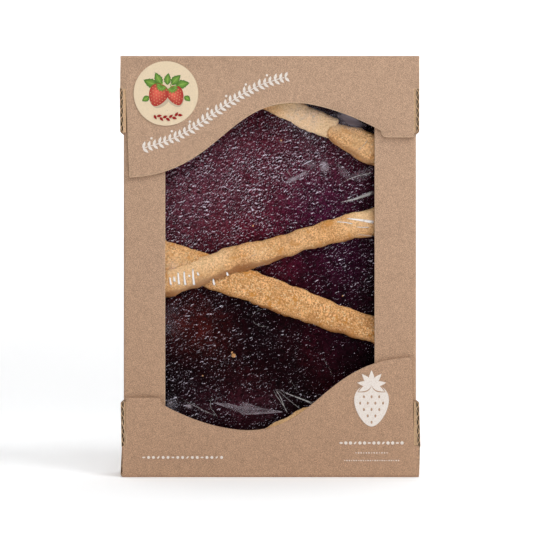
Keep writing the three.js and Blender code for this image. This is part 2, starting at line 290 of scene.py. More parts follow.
def wet_glint_paint():
    """Painted highlights and shade: the small bright and dark sides of a wet wrinkled skin, as
    light from above shows them.
    """
    name = "Wet relief"
    if name in bpy.data.node_groups:
        return bpy.data.node_groups[name]
    tree, enter, leave = new_group(
        name, {"Scale": 400.0, "Turn": 0.6, "Stretch": 1.8, "Low": 0.08, "High": 0.2},
        ("Glint", "Shade", "Height"))
    turn = add_node(tree, "ShaderNodeVectorRotate", {
        "Vector": place(tree), "Angle": enter.outputs["Turn"]}, rotation_type="Y_AXIS")
    squeeze = add_node(tree, "ShaderNodeCombineXYZ", {
        0: calculate(tree, "DIVIDE", 1.0, enter.outputs["Stretch"]), 1: 1.0, 2: 1.0})
    where = add_node(tree, "ShaderNodeVectorMath", {0: turn.outputs[0], 1: squeeze.outputs[0]},
                     operation="MULTIPLY").outputs[0]
    apart = calculate(tree, "DIVIDE", 0.2, enter.outputs["Scale"])
    heights = []
    for side in (1, -1):
        step = add_node(tree, "ShaderNodeCombineXYZ", {
            0: calculate(tree, "MULTIPLY", apart, 0.4 * side),
            2: calculate(tree, "MULTIPLY", apart, side)})
        moved = add_node(tree, "ShaderNodeVectorMath", {0: where, 1: step.outputs[0]},
                         operation="ADD")
        heights.append(noise_value(tree, moved.outputs[0], enter.outputs["Scale"], 3.0, 0.6, 0.5))
    slope = calculate(tree, "SUBTRACT", heights[0], heights[1])
    for label, value in (("Glint", slope), ("Shade", calculate(tree, "MULTIPLY", slope, -1.5))):
        shown = add_node(tree, "ShaderNodeMapRange", {
            0: value, 1: enter.outputs["Low"], 2: enter.outputs["High"]},
            interpolation_type="SMOOTHSTEP")
        tree.links.new(shown.outputs[0], leave.inputs[label])
    tree.links.new(heights[0], leave.inputs["Height"])
    return tree


def new_material(name):
    """A material with an empty tree but for its Principled shader, which is returned too."""
    made = bpy.data.materials.new(name)
    made.use_nodes = True
    tree = made.node_tree
    tree.nodes.clear()
    shader = add_node(tree, "ShaderNodeBsdfPrincipled")
    out = add_node(tree, "ShaderNodeOutputMaterial")
    tree.links.new(shader.outputs[0], out.inputs[0])
    return made, tree, shader


def kraft_material():
    """The board's face: brown fibre, darker and warmer near the lower end as a painted shade of
    light from above, with the waves just felt.
    """
    made, tree, shader = new_material("Brown board")
    fibre = use_group(tree, paper_fibre(), Grain=1900.0, Cloud=220.0, Specks=0.45)
    axes = add_node(tree, "ShaderNodeSeparateXYZ", {0: place(tree)})
    rise = calculate(tree, "DIVIDE", axes.outputs[2], HEIGHT)
    # Painted shade: darker and warmer towards the lower end.
    base = blend(tree, ramp(tree, rise, -0.1, 1.0), colours().kraft_shaded_low, colours().kraft)
    tone = mottled(tree, fibre.outputs["Tone"], base, (0.63, 0.62, 0.61), (1.34, 1.34, 1.34))
    specked = blend(tree, calculate(tree, "MULTIPLY", fibre.outputs["Speck"], 0.4), tone,
                    srgb(96, 72, 54))
    across = calculate(tree, "ADD", axes.outputs[0], axes.outputs[1])
    wave = calculate(tree, "SINE", calculate(tree, "MULTIPLY", across,
                                             2 * math.pi / sizes().flute_pitch))
    height = calculate(tree, "MULTIPLY_ADD", wave, 0.16, fibre.outputs["Height"])
    set_inputs(tree, shader, {
        "Base Color": specked, "Normal": bump(tree, height, 0.00012, 0.6), "Roughness": 0.88,
        "Specular IOR Level": 0.2})
    return made


def cut_edge_material(name, colour, contrast):
    """A rough cut edge: pale broken fibre."""
    made, tree, shader = new_material(name)
    fibre = use_group(tree, paper_fibre(), Grain=1600.0, Cloud=220.0, Specks=0.2)
    tone = blend(tree, fibre.outputs["Tone"], times(colour, 1 - contrast),
                 times(colour, 1 + contrast))
    set_inputs(tree, shader, {
        "Base Color": tone, "Normal": bump(tree, fibre.outputs["Height"], 0.0002, 0.7),
        "Roughness": 0.95, "Specular IOR Level": 0.1})
    return made


def paper_material(name, colour, contrast, specks):
    """Smooth printed or coloured paper with a little fibre and a few specks."""
    made, tree, shader = new_material(name)
    fibre = use_group(tree, paper_fibre(), Grain=1300.0, Cloud=90.0, Specks=specks)
    tone = blend(tree, fibre.outputs["Tone"], times(colour, 1 - contrast),
                 times(colour, 1 + contrast))
    specked = blend(tree, calculate(tree, "MULTIPLY", fibre.outputs["Speck"], 0.75 * specks),
                    tone, srgb(94, 80, 66))
    set_inputs(tree, shader, {
        "Base Color": specked, "Normal": bump(tree, fibre.outputs["Height"], 0.00006, 0.5),
        "Roughness": 0.75, "Specular IOR Level": 0.25})
    return made


def printed_material(name, colour, light):
    """Ink whose tone the mesh carries, from dark at 0 to light at 1."""
    made, tree, shader = new_material(name)
    fibre = use_group(tree, paper_fibre(), Grain=1400.0, Cloud=300.0, Specks=0.0)
    shaded = blend(tree, painted(tree, "tone"), times(colour, 0.62), light)
    tone = mottled(tree, fibre.outputs["Tone"], shaded, (0.88, 0.88, 0.88), (1, 1, 1))
    set_inputs(tree, shader, {"Base Color": tone, "Roughness": 0.7, "Specular IOR Level": 0.25})
    return made


def pastry_material():
    """Baked shortcrust: golden, grainy, with pale and orange crumbs, pits in painted shade, brown
    edges that carry painted shade on their lower sides and pale places that carry painted light.
    """
    made, tree, shader = new_material("Baked pastry")
    where = place(tree)
    grain = noise_value(tree, where, 900.0, 3.0, 0.75)
    cloud = noise_value(tree, where, 95.0, 3.0, 0.6)
    patch = noise_value(tree, where, 150.0, 2.0, 0.5, 0.5)
    crumbs = add_node(tree, "ShaderNodeTexVoronoi", {"Vector": where, "Scale": 660.0})
    pits = add_node(tree, "ShaderNodeTexVoronoi", {"Vector": where, "Scale": 130.0})
    tone = blend(tree, ramp(tree, grain, 0.38, 0.62), colours().pastry_dark, colours().pastry)
    warm = blend(tree, calculate(tree, "MULTIPLY", ramp(tree, cloud, 0.4, 0.7), 0.55), tone,
                 srgb(196, 138, 74))
    orange = blend(tree, calculate(tree, "MULTIPLY", ramp(tree, patch, 0.57, 0.68), 0.8), warm,
                   srgb(206, 134, 44))
    chance = calculate(tree, "GREATER_THAN", crumbs.outputs["Color"], 0.6)
    near = ramp(tree, crumbs.outputs["Distance"], 0.42, 0.16)
    pale = blend(tree, calculate(tree, "MULTIPLY", calculate(tree, "MULTIPLY", chance, near), 0.8),
                 orange, srgb(250, 224, 178))
    browning_and_shade = uneven(tree, "browning_and_shade", grain, 0.3, 0.7, 0.5, 0.6)
    browned_and_shaded = blend(tree, browning_and_shade, pale, colours().browned_and_shaded)
    # Painted shade: the small pits are darkened as the shade in a hollow.
    pit = calculate(tree, "MULTIPLY", calculate(
        tree, "GREATER_THAN", pits.outputs["Color"], 0.86), ramp(
        tree, pits.outputs["Distance"], 0.16, 0.07))
    pit_shaded = blend(tree, calculate(tree, "MULTIPLY", pit, 0.85), browned_and_shaded, srgb(92, 44, 16))
    # Partly painted light: pale places also lift the strips out of shade.
    floury_and_lit = uneven(tree, "floury_and_lit", grain, 0.3, 0.7, 0.5, 0.6)
    relief = calculate(tree, "MULTIPLY_ADD", pit, -1.2, calculate(
        tree, "MULTIPLY_ADD", near, 0.6, grain))
    set_inputs(tree, shader, {
        "Base Color": blend(tree, floury_and_lit, pit_shaded, colours().flour),
        "Normal": bump(tree, relief, 0.0007, 0.9), "Roughness": 0.62, "Specular IOR Level": 0.35,
        "Subsurface Weight": 0.04, "Subsurface Radius": (0.003, 0.0015, 0.0006)})
    return made


def jam_material():
    """Dark wet jam: redder and cloudier where the mesh says so, with dense bent glints and their
    dark sides painted into its colour as highlights and shade.
    """
    made, tree, shader = new_material("Dark jam")
    where = place(tree)
    cloud = noise_value(tree, where, 85.0, 3.0, 0.6, 0.4)
    fine = noise_value(tree, where, 430.0, 3.0, 0.7)
    grain = noise_value(tree, where, 900.0, 2.0, 0.6)
    # The mesh's wet value sets how dense the painted glints and shade are.
    low = calculate(tree, "MULTIPLY_ADD", painted(tree, "wet"), -0.12, 0.188)
    glint = 0.0
    shade = 0.0
    for scale, turn, stretch, span in ((530.0, 0.5, 1.6, 0.12), (840.0, 1.0, 1.3, 0.13)):
        layer = use_group(tree, wet_glint_paint(), Scale=scale, Turn=turn, Stretch=stretch)
        tree.links.new(low, layer.inputs["Low"])
        tree.links.new(calculate(tree, "ADD", low, span), layer.inputs["High"])
        glint = calculate(tree, "MAXIMUM", layer.outputs["Glint"], glint)
        shade = calculate(tree, "MAXIMUM", layer.outputs["Shade"], shade)
    lit = uneven(tree, "red", cloud, 0.3, 0.7, 0.7, 0.6)
    hue = blend(tree, painted(tree, "violet"), colours().jam_red, colours().jam_violet)
    rusty = blend(tree, painted(tree, "rust"), hue, colours().jam_rust)
    red = blend(tree, lit, colours().jam, rusty)
    cloudy = blend(tree, painted(tree, "cloudy"), red, colours().jam_plum)
    tone = calculate(tree, "MULTIPLY_ADD", ramp(tree, fine, 0.33, 0.67), 0.65, calculate(
        tree, "MULTIPLY", ramp(tree, grain, 0.33, 0.67), 0.35))
    body = mottled(tree, tone, cloudy, (0.2, 0.15, 0.18), (1.7, 1.7, 1.7))
    # Painted shade, then painted glints.
    shaded = blend(tree, calculate(tree, "MULTIPLY", shade, 0.9), body, times(colours().jam, 0.2))
    bright = calculate(tree, "POWER", glint, 1.4)
    relief = calculate(tree, "MULTIPLY_ADD", glint, 0.5, fine)
    set_inputs(tree, shader, {
        "Base Color": blend(tree, bright, shaded, colours().glint),
        "Normal": bump(tree, relief, 0.001, 0.7), "Roughness": 0.16, "Specular IOR Level": 0.02})
    return made


def film_material():
    """Clear film: nearly unseen, with painted milky sheen in patches and fine painted glints."""
    made, tree, shader = new_material("Clear film")
    glints = use_group(tree, wet_glint_paint(), Scale=160.0, Turn=0.5, Stretch=5.0, Low=0.2,
                       High=0.26)
    streaks = noise_value(tree, place(tree), 330.0, 3.0, 0.65, 1.2)
    sheen_veil = uneven(tree, "sheen_veil", streaks, 0.35, 0.7, 0.9, 0.3)
    # Painted glints of the film, where the mesh's crinkle value allows them.
    fine = calculate(tree, "MULTIPLY", glints.outputs["Glint"], painted(tree, "crinkle_glint"))
    set_inputs(tree, shader, {
        "Base Color": colours().glint, "Roughness": 0.22,
        "Alpha": calculate(tree, "ADD", sheen_veil, fine, clamp=True),
        "Normal": bump(tree, streaks, 0.0004, 0.4)})
    return made


def crease_material():
    """A folded edge of the film, with a painted highlight where two layers catch the light."""
    made, tree, shader = new_material("Film crease")
    broken = noise_value(tree, place(tree), 340.0, 2.0, 0.6)
    set_inputs(tree, shader, {
        "Base Color": srgb(246, 242, 240), "Roughness": 0.3,
        "Alpha": uneven(tree, "tone", broken, 0.25, 0.6, 0.5, 0.5)})
    return made


def lap_material():
    """A lap of film with a painted milky sheen, streaked along its folds."""
    made, tree, shader = new_material("Film lap sheen")
    turn = add_node(tree, "ShaderNodeMapping", {
        "Vector": place(tree), "Rotation": (0, 0.45, 0), "Scale": (0.25, 1, 1)})
    streaks = noise_value(tree, turn.outputs[0], 420.0, 2.0, 0.6, 0.6)
    set_inputs(tree, shader, {
        "Base Color": srgb(184, 170, 180), "Roughness": 0.35,
        "Alpha": uneven(tree, "tone", streaks, 0.34, 0.66, 0.55, 0.5)})
    return made


# Meshes.


def new_piece(name, mesh):
    made = bpy.data.objects.new(name, mesh)
    bpy.context.scene.collection.objects.link(made)
    return made


def set_values(mesh, name, values):
    """Gives each point of a mesh a value that a material can read."""
    layer = mesh.attributes.new(name, "FLOAT", "POINT")
    layer.data.foreach_set("value", np.asarray(values, np.float32))


def mesh_of(name, points, faces):
    made = bpy.data.meshes.new(name)
    made.from_pydata(points, [], faces)
    return made


def points_of(mesh, kind="co"):
    """The mesh's points as rows of an array, or with kind "normal" its normals there."""
    flat = np.empty(len(mesh.vertices) * 3, np.float32)
    mesh.vertices.foreach_get(kind, flat)
    return flat.reshape(-1, 3).astype(float)


def move_points(mesh, points):
    mesh.vertices.foreach_set("co", np.asarray(points, np.float32).ravel())
    mesh.update()


def cloud_at(points, size, seed):
    """Smooth noise from -1 to 1 at each point, with lumps of about that size."""
    shift = Vector((seed * 7.1, seed * 3.7, seed * 5.3))
    return np.array([noise.noise(Vector(p) / size + shift) for p in points])


def clouds(points, layers):
    """A sum of smooth noises, each with its size in millimetres, its strength and its seed."""
    return sum(strength * cloud_at(points, size * MM, seed) for size, strength, seed in layers)


class Shell:
    """Collects faces of several finishes and makes one mesh of them."""

    def __init__(self):
        self.points = []
        self.faces = []
        self.finishes = []
        self.turn = lambda p: p
        self.flipped = False

    def add(self, points, faces, finish):
        start = len(self.points)
        self.points.extend(self.turn(p) for p in points)
        for face in faces:
            ring = [start + i for i in face]
            self.faces.append(ring[::-1] if self.flipped else ring)
            self.finishes.append(finish)

    def mesh(self, name, sharp_degrees=32):
        made = mesh_of(name, self.points, self.faces)
        made.polygons.foreach_set("material_index", self.finishes)
        work = bmesh.new()
        work.from_mesh(made)
        bmesh.ops.remove_doubles(work, verts=work.verts, dist=2e-6)
        bmesh.ops.dissolve_degenerate(work, edges=work.edges, dist=1e-7)
        work.to_mesh(made)
        work.free()
        made.shade_smooth()
        made.set_sharp_from_angle(angle=math.radians(sharp_degrees))
        return made


def distinct(outline):
    """The outline without points that repeat the one before."""
    return [p for i, p in enumerate(outline) if math.dist(p, outline[i - 1]) > 1e-6]


def filled(outline, spacing):
    """Triangles that fill an outline, with a grid of points inside it."""
    edge = np.array(outline)
    low, high = edge.min(0), edge.max(0)
    inner = []
    for u in np.arange(low[0] + spacing, high[0], spacing):
        for v in np.arange(low[1] + spacing, high[1], spacing):
            if np.hypot(*(edge - (u, v)).T).min() > spacing * 0.45:
                inner.append((u, v))
    points = [Vector(p) for p in [*outline, *inner]]
    made = geometry.delaunay_2d_cdt(points, [], [list(range(len(outline)))], 1, 1e-7)
    return [tuple(p) for p in made[0]], [tuple(face) for face in made[2]]


def inset_outline(outline, distance, folded):
    """The outline moved inwards, but not across the edges that continue in a fold."""
    edge = np.array(outline)
    ahead = np.roll(edge, -1, 0) - edge
    ahead /= np.hypot(*ahead.T)[:, None]
    inward = np.stack([-ahead[:, 1], ahead[:, 0]], 1)
    moved = []
    for i, point in enumerate(edge):
        sides = [inward[k] for k in (i - 1, i) if not folded(edge[k], edge[(k + 1) % len(edge)])]
        if not sides:
            moved.append(tuple(point))
            continue
        if len(sides) == 1:
            moved.append(tuple(point + sides[0] * distance))
            continue
        total = sides[0] + sides[1]
        moved.append(tuple(point + total * distance / max(0.4, 1 + sides[0] @ sides[1])))
    return moved


def no_fold(first, second):
    return False


def between_rings(count):
    """Faces that join a ring of points to a like ring that follows it."""
    return [(i, (i + 1) % count, count + (i + 1) % count, count + i) for i in range(count)]


def centre_of(outline):
    return tuple(sum(p[k] for p in outline) / len(outline) for k in (0, 1))


def add_bar(shell, first, last, sides, turned=False):
    """A folded bar of board between two like rings of points, with a cut edge at each end."""
    way = 1 if turned else -1
    ends = tuple(range(len(first)))
    shell.add(first + last, [side[::way] for side in sides], 0)
    shell.add(first, [ends[::-way]], 1)
    shell.add(last, [ends[::way]], 1)


def add_plate(shell, outline, seat, near, far, chamfer=0.0, folded=no_fold, spacing=0.012,
              finishes=(0, 1)):
    """A plate with the outline, counter-clockwise, between two depths. `seat` puts a point of
    the outline at a depth into space. The near face's edge has a small chamfer."""
    flat, edge = finishes
    outline = distinct(outline)
    shown = inset_outline(outline, chamfer * 1.6, folded) if chamfer else outline
    for rim, depth, turned in ((shown, near, False), (outline, far, True)):
        points, triangles = filled(rim, spacing)
        ring = [t[::-1] for t in triangles] if turned else triangles
        shell.add([seat(u, v, depth) for u, v in points], ring, flat)
    step = math.copysign(chamfer, far - near)
    levels = [(shown, near), (outline, near + step), (outline, far)]
    for (first, a), (second, b) in zip(levels, levels[1:]):
        points = [seat(u, v, a) for u, v in first] + [seat(u, v, b) for u, v in second]
        shell.add(points, [face[::-1] for face in between_rings(len(outline))], edge)


def add_beam(shell, rows, finish):
    """A closed bar through rings of four points each."""
    points = [p for row in rows for p in row]
    faces = []
    for i in range(len(rows) - 1):
        for k in range(4):
            a, b = 4 * i + k, 4 * i + (k + 1) % 4
            faces.append((a, b, b + 4, a + 4))
    last = 4 * (len(rows) - 1)
    faces += [(3, 2, 1, 0), (last, last + 1, last + 2, last + 3)]
    shell.add(points, faces, finish)


def add_core(shell, stations, seat, middle, swing):
    """The board's wavy core. Each station is a place along the waves and the two ends of the
    flute there."""
    half = CORE_THICKNESS / 2
    rows = []
    for along, start, stop in stations:
        at = middle + swing * math.sin(2 * math.pi * along / sizes().flute_pitch)
        rows.append([seat(along, start, at - half), seat(along, start, at + half),
                     seat(along, stop, at + half), seat(along, stop, at - half)])
    add_beam(shell, rows, 2)


def bezier(start, first, second, end, steps):
    """Points of a cubic curve, without its start."""
    made = []
    for i in range(1, steps + 1):
        t = i / steps
        s = 1 - t
        weights = (s ** 3, 3 * s * s * t, 3 * s * t * t, t ** 3)
        made.append(tuple(sum(w * p[k] for w, p in zip(weights, (start, first, second, end)))
                          for k in (0, 1)))
    return made


def arc(centre, radius, first, last, steps):
    """Points of a round stretch, with angles in degrees."""
    made = []
    for i in range(steps + 1):
        angle = math.radians(first + (last - first) * i / steps)
        made.append((centre[0] + radius * math.cos(angle), centre[1] + radius * math.sin(angle)))
    return made


# The carton. An end is made standing, with its fold at z 0, and the upper one is turned half
# round about the line of sight.

# With edge 1 the top flap's cut edge is pale, partly cut fibre and partly a painted highlight;
# with edge 0 the bottom flap's edge keeps the board's colour.
TOP_FLAP = {
    "tip_half": 99.3, "tip_depth": 86.0, "peak": (17.7, 33.2), "shoulder": 23.3, "half": 105.6,
    "notch": (78.5, 52.9), "flat": (82.1, 57.6), "aside": 0.0, "bevel": 0.16, "edge": 1,
    "ear": 55.4, "ears": {1: (0.3, -0.1), -1: (-0.3, -0.3)}}
BOTTOM_FLAP = {
    "tip_half": 100.2, "tip_depth": 85.0, "peak": (15.5, 33.2), "shoulder": 22.2, "half": 104.7,
    "notch": (76.4, 51.5), "flat": (79.8, 56.3), "aside": 0.5, "bevel": 0.08, "edge": 0,
    "ear": 54.4, "ears": {1: (0.5, -0.4), -1: (-1.0, -0.4)}}
FLAP_WAVE = 0.12 * MM        # how far a glued flap swells
CORE_THICKNESS = 0.5 * MM
CORE_RECESS = 0.25 * MM      # how far the waves end behind a cut edge
FLUTE_STEPS = 14             # points along one wave
EAR_GAP = -0.2 * MM          # the ears lie pressed into the side walls
EAR_SETBACK = 4.0 * MM       # where an ear starts behind the front, below its tab
EAR_TAB = 0.05 * MM          # how far above the flap's shoulder the tab starts
EAR_SHORT = 1.5 * MM         # how much shorter the outer sheet of an ear is
EAR_CORNER = 1.2 * MM
EAR_BACK_GAP = 1.5 * MM
EAR_SLANT = (7.5 * MM, 12.0 * MM)
EAR_GRID = 5.0 * MM
CRUSHED_FRONT = 0.7 * MM
CRUSHED_DEPTH = 1.6 * MM
# Painted shade: a very dark floor closes the waves at this depth and stands for the shade inside
# them.
HOLE_DEPTH = 1.1 * MM        # how far one can look into the waves
HOLE_FLOOR = 0.3 * MM
PEELED_HALF = 0.24 * MM
PANEL_GAP = 0.3 * MM         # between a flap and the panels under it
WINDOW_NICK = 0.2 * MM
WALL_INSET = 3.5 * MM        # where the side walls end, inside the end walls
PEELED = ((-104.4, 39.5), (-103.7, 36.5), (-102.6, 33.5), (-101.7, 30.0), (-101.4, 26.0),
          (-101.8, 22.8))


def cut_edge(flap):
    """The flap's cut edge from its long tip to the end of the flat, as x and depth."""
    tip = (-flap["tip_half"], flap["tip_depth"])
    peak, notch, flat = flap["peak"], flap["notch"], flap["flat"]
    rising = bezier(tip, (tip[0] + 62, tip[1] - 2.5), (peak[0] - 49, peak[1]), peak, 34)
    falling = bezier(peak, (peak[0] + 9, peak[1]), (notch[0] - 29, notch[1] - 16), notch, 20)
    rounding = bezier(notch, (notch[0] + 0.4, notch[1] + 3), (notch[0] + 1.6, flat[1]), flat, 7)
    end = (sizes().neck_half / MM, flat[1])
    return [(x * MM, depth * MM) for x, depth in [tip, *rising, *falling, *rounding, end]]


def standing_outline(flap):
    """The flap's outline above its fold, turned half round: counter-clockwise, x and z."""
    low = sizes().fold_radius
    left = (flap["aside"] - flap["half"]) * MM
    right = (flap["aside"] + flap["half"]) * MM
    neck = sizes().neck_half
    shoulder = flap["shoulder"] * MM
    edge = [(-x, depth) for x, depth in cut_edge(flap)]
    return [(left, low), (right, low), (right, shoulder), (neck, shoulder), *edge,
            (-neck, shoulder), (left, shoulder)]


def flap_bow(x, z):
    """How far a glued flap stands forward of flat, towards its free edge."""
    return FLAP_WAVE * math.sin(x * 41 + z * 17) * min(1.0, z / 0.03)


def add_flap(shell, flap):
    """The front flap: two liners and the waves between them, which show at the cut edge."""
    size = sizes()
    outline = standing_outline(flap)
    thickness = size.board
    liner = size.liner
    shoulder = flap["shoulder"] * MM

    def seat(x, z, depth):
        return (x, FRONT + depth - flap_bow(x, z), z)

    def folded(first, second):
        return max(first[1], second[1]) <= size.fold_radius + 1e-6

    add_plate(shell, outline, seat, 0, liner, flap["bevel"] * MM, folded,
              finishes=(0, flap["edge"]))
    add_plate(shell, outline, seat, thickness, thickness - liner, 0, folded)
    edge = cut_edge(flap)[::-1]
    xs = np.array([-x for x, depth in edge])
    tops = np.array([depth for x, depth in edge])
    order = np.argsort(xs)
    stations = []
    step = size.flute_pitch / FLUTE_STEPS
    low, high = outline[0][0], outline[1][0]
    for x in np.arange(low + step, high - step / 2, step):
        top = np.interp(x, xs[order], tops[order])
        if x > xs.max():
            top = np.interp(x, (xs.max(), size.neck_half), (tops.max(), shoulder))
        if abs(x) > size.neck_half - 0.2 * MM:
            top = shoulder
        stations.append((x, top - CORE_RECESS, size.fold_radius))
    middle = thickness / 2
    add_core(shell, stations, seat, middle, middle - liner - CORE_THICKNESS / 2)


def add_fold(shell, left, right):
    """The fold between flap and end wall, and the wall's first strip."""
    size = sizes()
    r, t = size.fold_radius, size.board
    back = FRONT + EAR_SETBACK
    outside = arc((FRONT + r, r), r, 180, 270, 6) + [(back, 0)]
    inside = [(back, t), (FRONT + t, t), (FRONT + t, r)]
    section = outside + inside
    add_bar(shell, [(left, y, z) for y, z in section], [(right, y, z) for y, z in section],
            between_rings(len(section))[:-1])


def add_end_wall(shell, half):
    """The end wall behind the front fold, with the fold to the back panel."""
    size = sizes()
    r, t = size.fold_radius, size.board
    start = FRONT + EAR_SETBACK
    section = [(start, 0), *arc((BACK - r, r), r, 270, 360, 6), (BACK - t, r), (BACK - t, t),
               (start, t)]
    add_bar(shell, [(-half, y, z) for y, z in section], [(half, y, z) for y, z in section],
            between_rings(len(section)))


def ear_outline(flap):
    """The ear in y and z, seen from outside on the right: its tab reaches the front."""
    low = sizes().fold_radius
    top = flap["ear"] * MM
    tab = flap["shoulder"] * MM + EAR_TAB
    setback = FRONT + EAR_SETBACK
    back = BACK - EAR_BACK_GAP
    corner = arc((FRONT + EAR_CORNER, top - EAR_CORNER), EAR_CORNER, 90, 180, 3)
    return [(setback, low), (back, low), (back, top - EAR_SLANT[1]), (back - EAR_SLANT[0], top),
            *corner, (FRONT, tab), (setback, tab)]


def add_ear(shell, side, flap):
    """An ear, folded up from the end wall over the side wall, with its waves cut across at the
    front and its inner sheet crushed against the flap."""
    size = sizes()
    r = size.fold_radius
    inner = size.body_half + EAR_GAP
    outer = inner + size.board
    top = flap["ear"] * MM
    shoulder = flap["shoulder"] * MM
    at_shoulder, at_top = (value * MM for value in flap["ears"][side])

    def lean(z):
        risen = min(1.0, max(0.0, (z - r) / (shoulder / 2)))
        share = max(0.0, (z - shoulder) / (top - shoulder))
        return at_shoulder * risen + (at_top - at_shoulder) * share

    def seat(y, z, x):
        short = EAR_SHORT * max(0.0, (x - inner) / size.board) * max(0.0, z / top)
        return (side * (x + lean(z)), y, z - short * (z > r + 1e-6))

    def core_seat(z, y, x):
        return seat(y, z, x)

    turned = shell.flipped
    if side < 0:
        shell.flipped = not shell.flipped
    liner = size.liner
    outline = ear_outline(flap)
    add_plate(shell, outline, seat, outer, outer - liner, 0.12 * MM, spacing=EAR_GRID)
    add_plate(shell, outline, seat, inner, inner + liner, spacing=EAR_GRID)
    step = size.flute_pitch / FLUTE_STEPS
    stations = []
    tab = shoulder + EAR_TAB
    for z in np.arange(r + 0.2 * MM, top - 0.4 * MM, step):
        front = FRONT + 0.15 * MM if z > tab else FRONT + EAR_SETBACK + CORE_RECESS
        slant = EAR_SLANT[0] * max(0.0, (z - top + EAR_SLANT[1]) / EAR_SLANT[1])
        stations.append((z, BACK - EAR_BACK_GAP - 0.3 * MM - slant, front))
    add_core(shell, stations, core_seat, (inner + outer) / 2,
             size.board / 2 - liner - CORE_THICKNESS / 2)
    levels = np.linspace(tab + 0.1 * MM, top - 1.0 * MM, 9)
    near, far = FRONT + CRUSHED_FRONT, FRONT + CRUSHED_FRONT + CRUSHED_DEPTH
    neck = side * (size.neck_half - 0.1 * MM)
    crushed = [[(neck, near, z), (side * (inner + lean(z)), near, z),
                (side * (inner + lean(z)), far, z), (neck, far, z)] for z in levels]
    add_beam(shell, crushed, 2)
    # Painted shade: very dark floors inside the waves, where one looks into them.
    for near, heights in ((FRONT + HOLE_DEPTH, levels),
                          (FRONT + EAR_SETBACK + HOLE_DEPTH, np.linspace(r, tab + 0.2 * MM, 5))):
        far = near + HOLE_FLOOR
        shade_floor = [[seat(near, z, inner - EAR_GAP), seat(near, z, outer - liner / 2),
                    seat(far, z, outer - liner / 2), seat(far, z, inner - EAR_GAP)]
                   for z in heights]
        add_beam(shell, shade_floor, 3)
    fold = arc((outer - r, r), r, 270, 360, 6) + [(inner, r), (outer - r, size.board)]
    add_bar(shell, [(side * x, FRONT + EAR_SETBACK, z) for x, z in fold],
            [(side * x, BACK - EAR_BACK_GAP, z) for x, z in fold], between_rings(len(fold)), True)
    shell.flipped = turned


def add_end(shell, flap):
    size = sizes()
    add_flap(shell, flap)
    add_fold(shell, (flap["aside"] - flap["half"]) * MM, (flap["aside"] + flap["half"]) * MM)
    add_end_wall(shell, size.body_half + EAR_GAP + size.board - size.fold_radius)
    for side in (1, -1):
        add_ear(shell, side, flap)


def add_peeled_liner(shell):
    """The sheet that has come away from the lower left ear, seen on edge."""
    line = smooth_path(PEELED)
    near, far = FRONT - 0.3 * MM, FRONT + 2.2 * MM
    rows = []
    for (x, z), (ahead_x, ahead_z) in zip(line, line[1:]):
        slope = math.atan2(ahead_z - z, ahead_x - x)
        right, up = -math.sin(slope) * PEELED_HALF, math.cos(slope) * PEELED_HALF
        x, z = x * MM, z * MM
        rows.append([(x - right, near, z - up), (x + right, near, z + up),
                     (x + right, far, z + up), (x - right, far, z - up)])
    add_beam(shell, rows, 1)


def add_body(shell):
    """Back panel, side walls and the two side panels beside the window, as one section."""
    size = sizes()
    r, t = size.fold_radius, size.board
    half = size.body_half
    window = size.window_half
    front = FRONT + t + PANEL_GAP
    right = [(window, front + WINDOW_NICK), (window + WINDOW_NICK, front),
             *arc((half - r, front + r), r, 270, 360, 6), *arc((half - r, BACK - r), r, 0, 90, 6)]
    left = [(-x, y) for x, y in right[::-1]]
    inner = [(-window, front + t), (-half + t, front + t), (-half + t, BACK - t),
             (half - t, BACK - t), (half - t, front + t), (window, front + t)]
    section = distinct(right + left + inner)
    low, high = r, HEIGHT - r
    wall_low, wall_high = WALL_INSET, HEIGHT - WALL_INSET
    count = len(section)

    def ends(y):
        return (low, high) if y > BACK - t - 1e-6 else (wall_low, wall_high)

    points = [(x, y, ends(y)[0]) for x, y in section] + [(x, y, ends(y)[1]) for x, y in section]
    for i in range(count):
        j = (i + 1) % count
        on_cut = all(abs(abs(section[k][0]) - window) < 0.3 * MM for k in (i, j))
        shell.add([points[i], points[j], points[count + j], points[count + i]], [(0, 1, 2, 3)],
                  1 if on_cut else 0)


def make_carton():
    shell = Shell()
    add_end(shell, BOTTOM_FLAP)
    add_peeled_liner(shell)
    shell.turn = lambda p: (-p[0], p[1], HEIGHT - p[2])
    add_end(shell, TOP_FLAP)
    shell.turn = lambda p: p
    add_body(shell)
    piece = new_piece("carton_board", shell.mesh("carton_board"))
    # The cut board's pale colour is partly a painted highlight on the top flap's lower edge.
    for material in (kraft_material(), cut_edge_material("Cut board", colours().cut, 0.14),
                     cut_edge_material("Wavy core", colours().core, 0.2),
                     # Painted shade: the core's colour made very dark, for the floors inside the
                     # waves.
                     cut_edge_material("Flute shade", times(colours().core, 0.14), 0.2)):
        piece.data.materials.append(material)
    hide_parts("carton")
    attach(piece, "root")


# Flat printed shapes. They lie a hair in front of what they are printed on.

PRINT_LIFT = 0.04 * MM
PRINT_STEP = 0.003 * MM


def board_face(x, z):
    """Where a flap's face lies at a place."""
    if z > HEIGHT / 2:
        return FRONT - flap_bow(-x, HEIGHT - z)
    return FRONT - flap_bow(x, z)


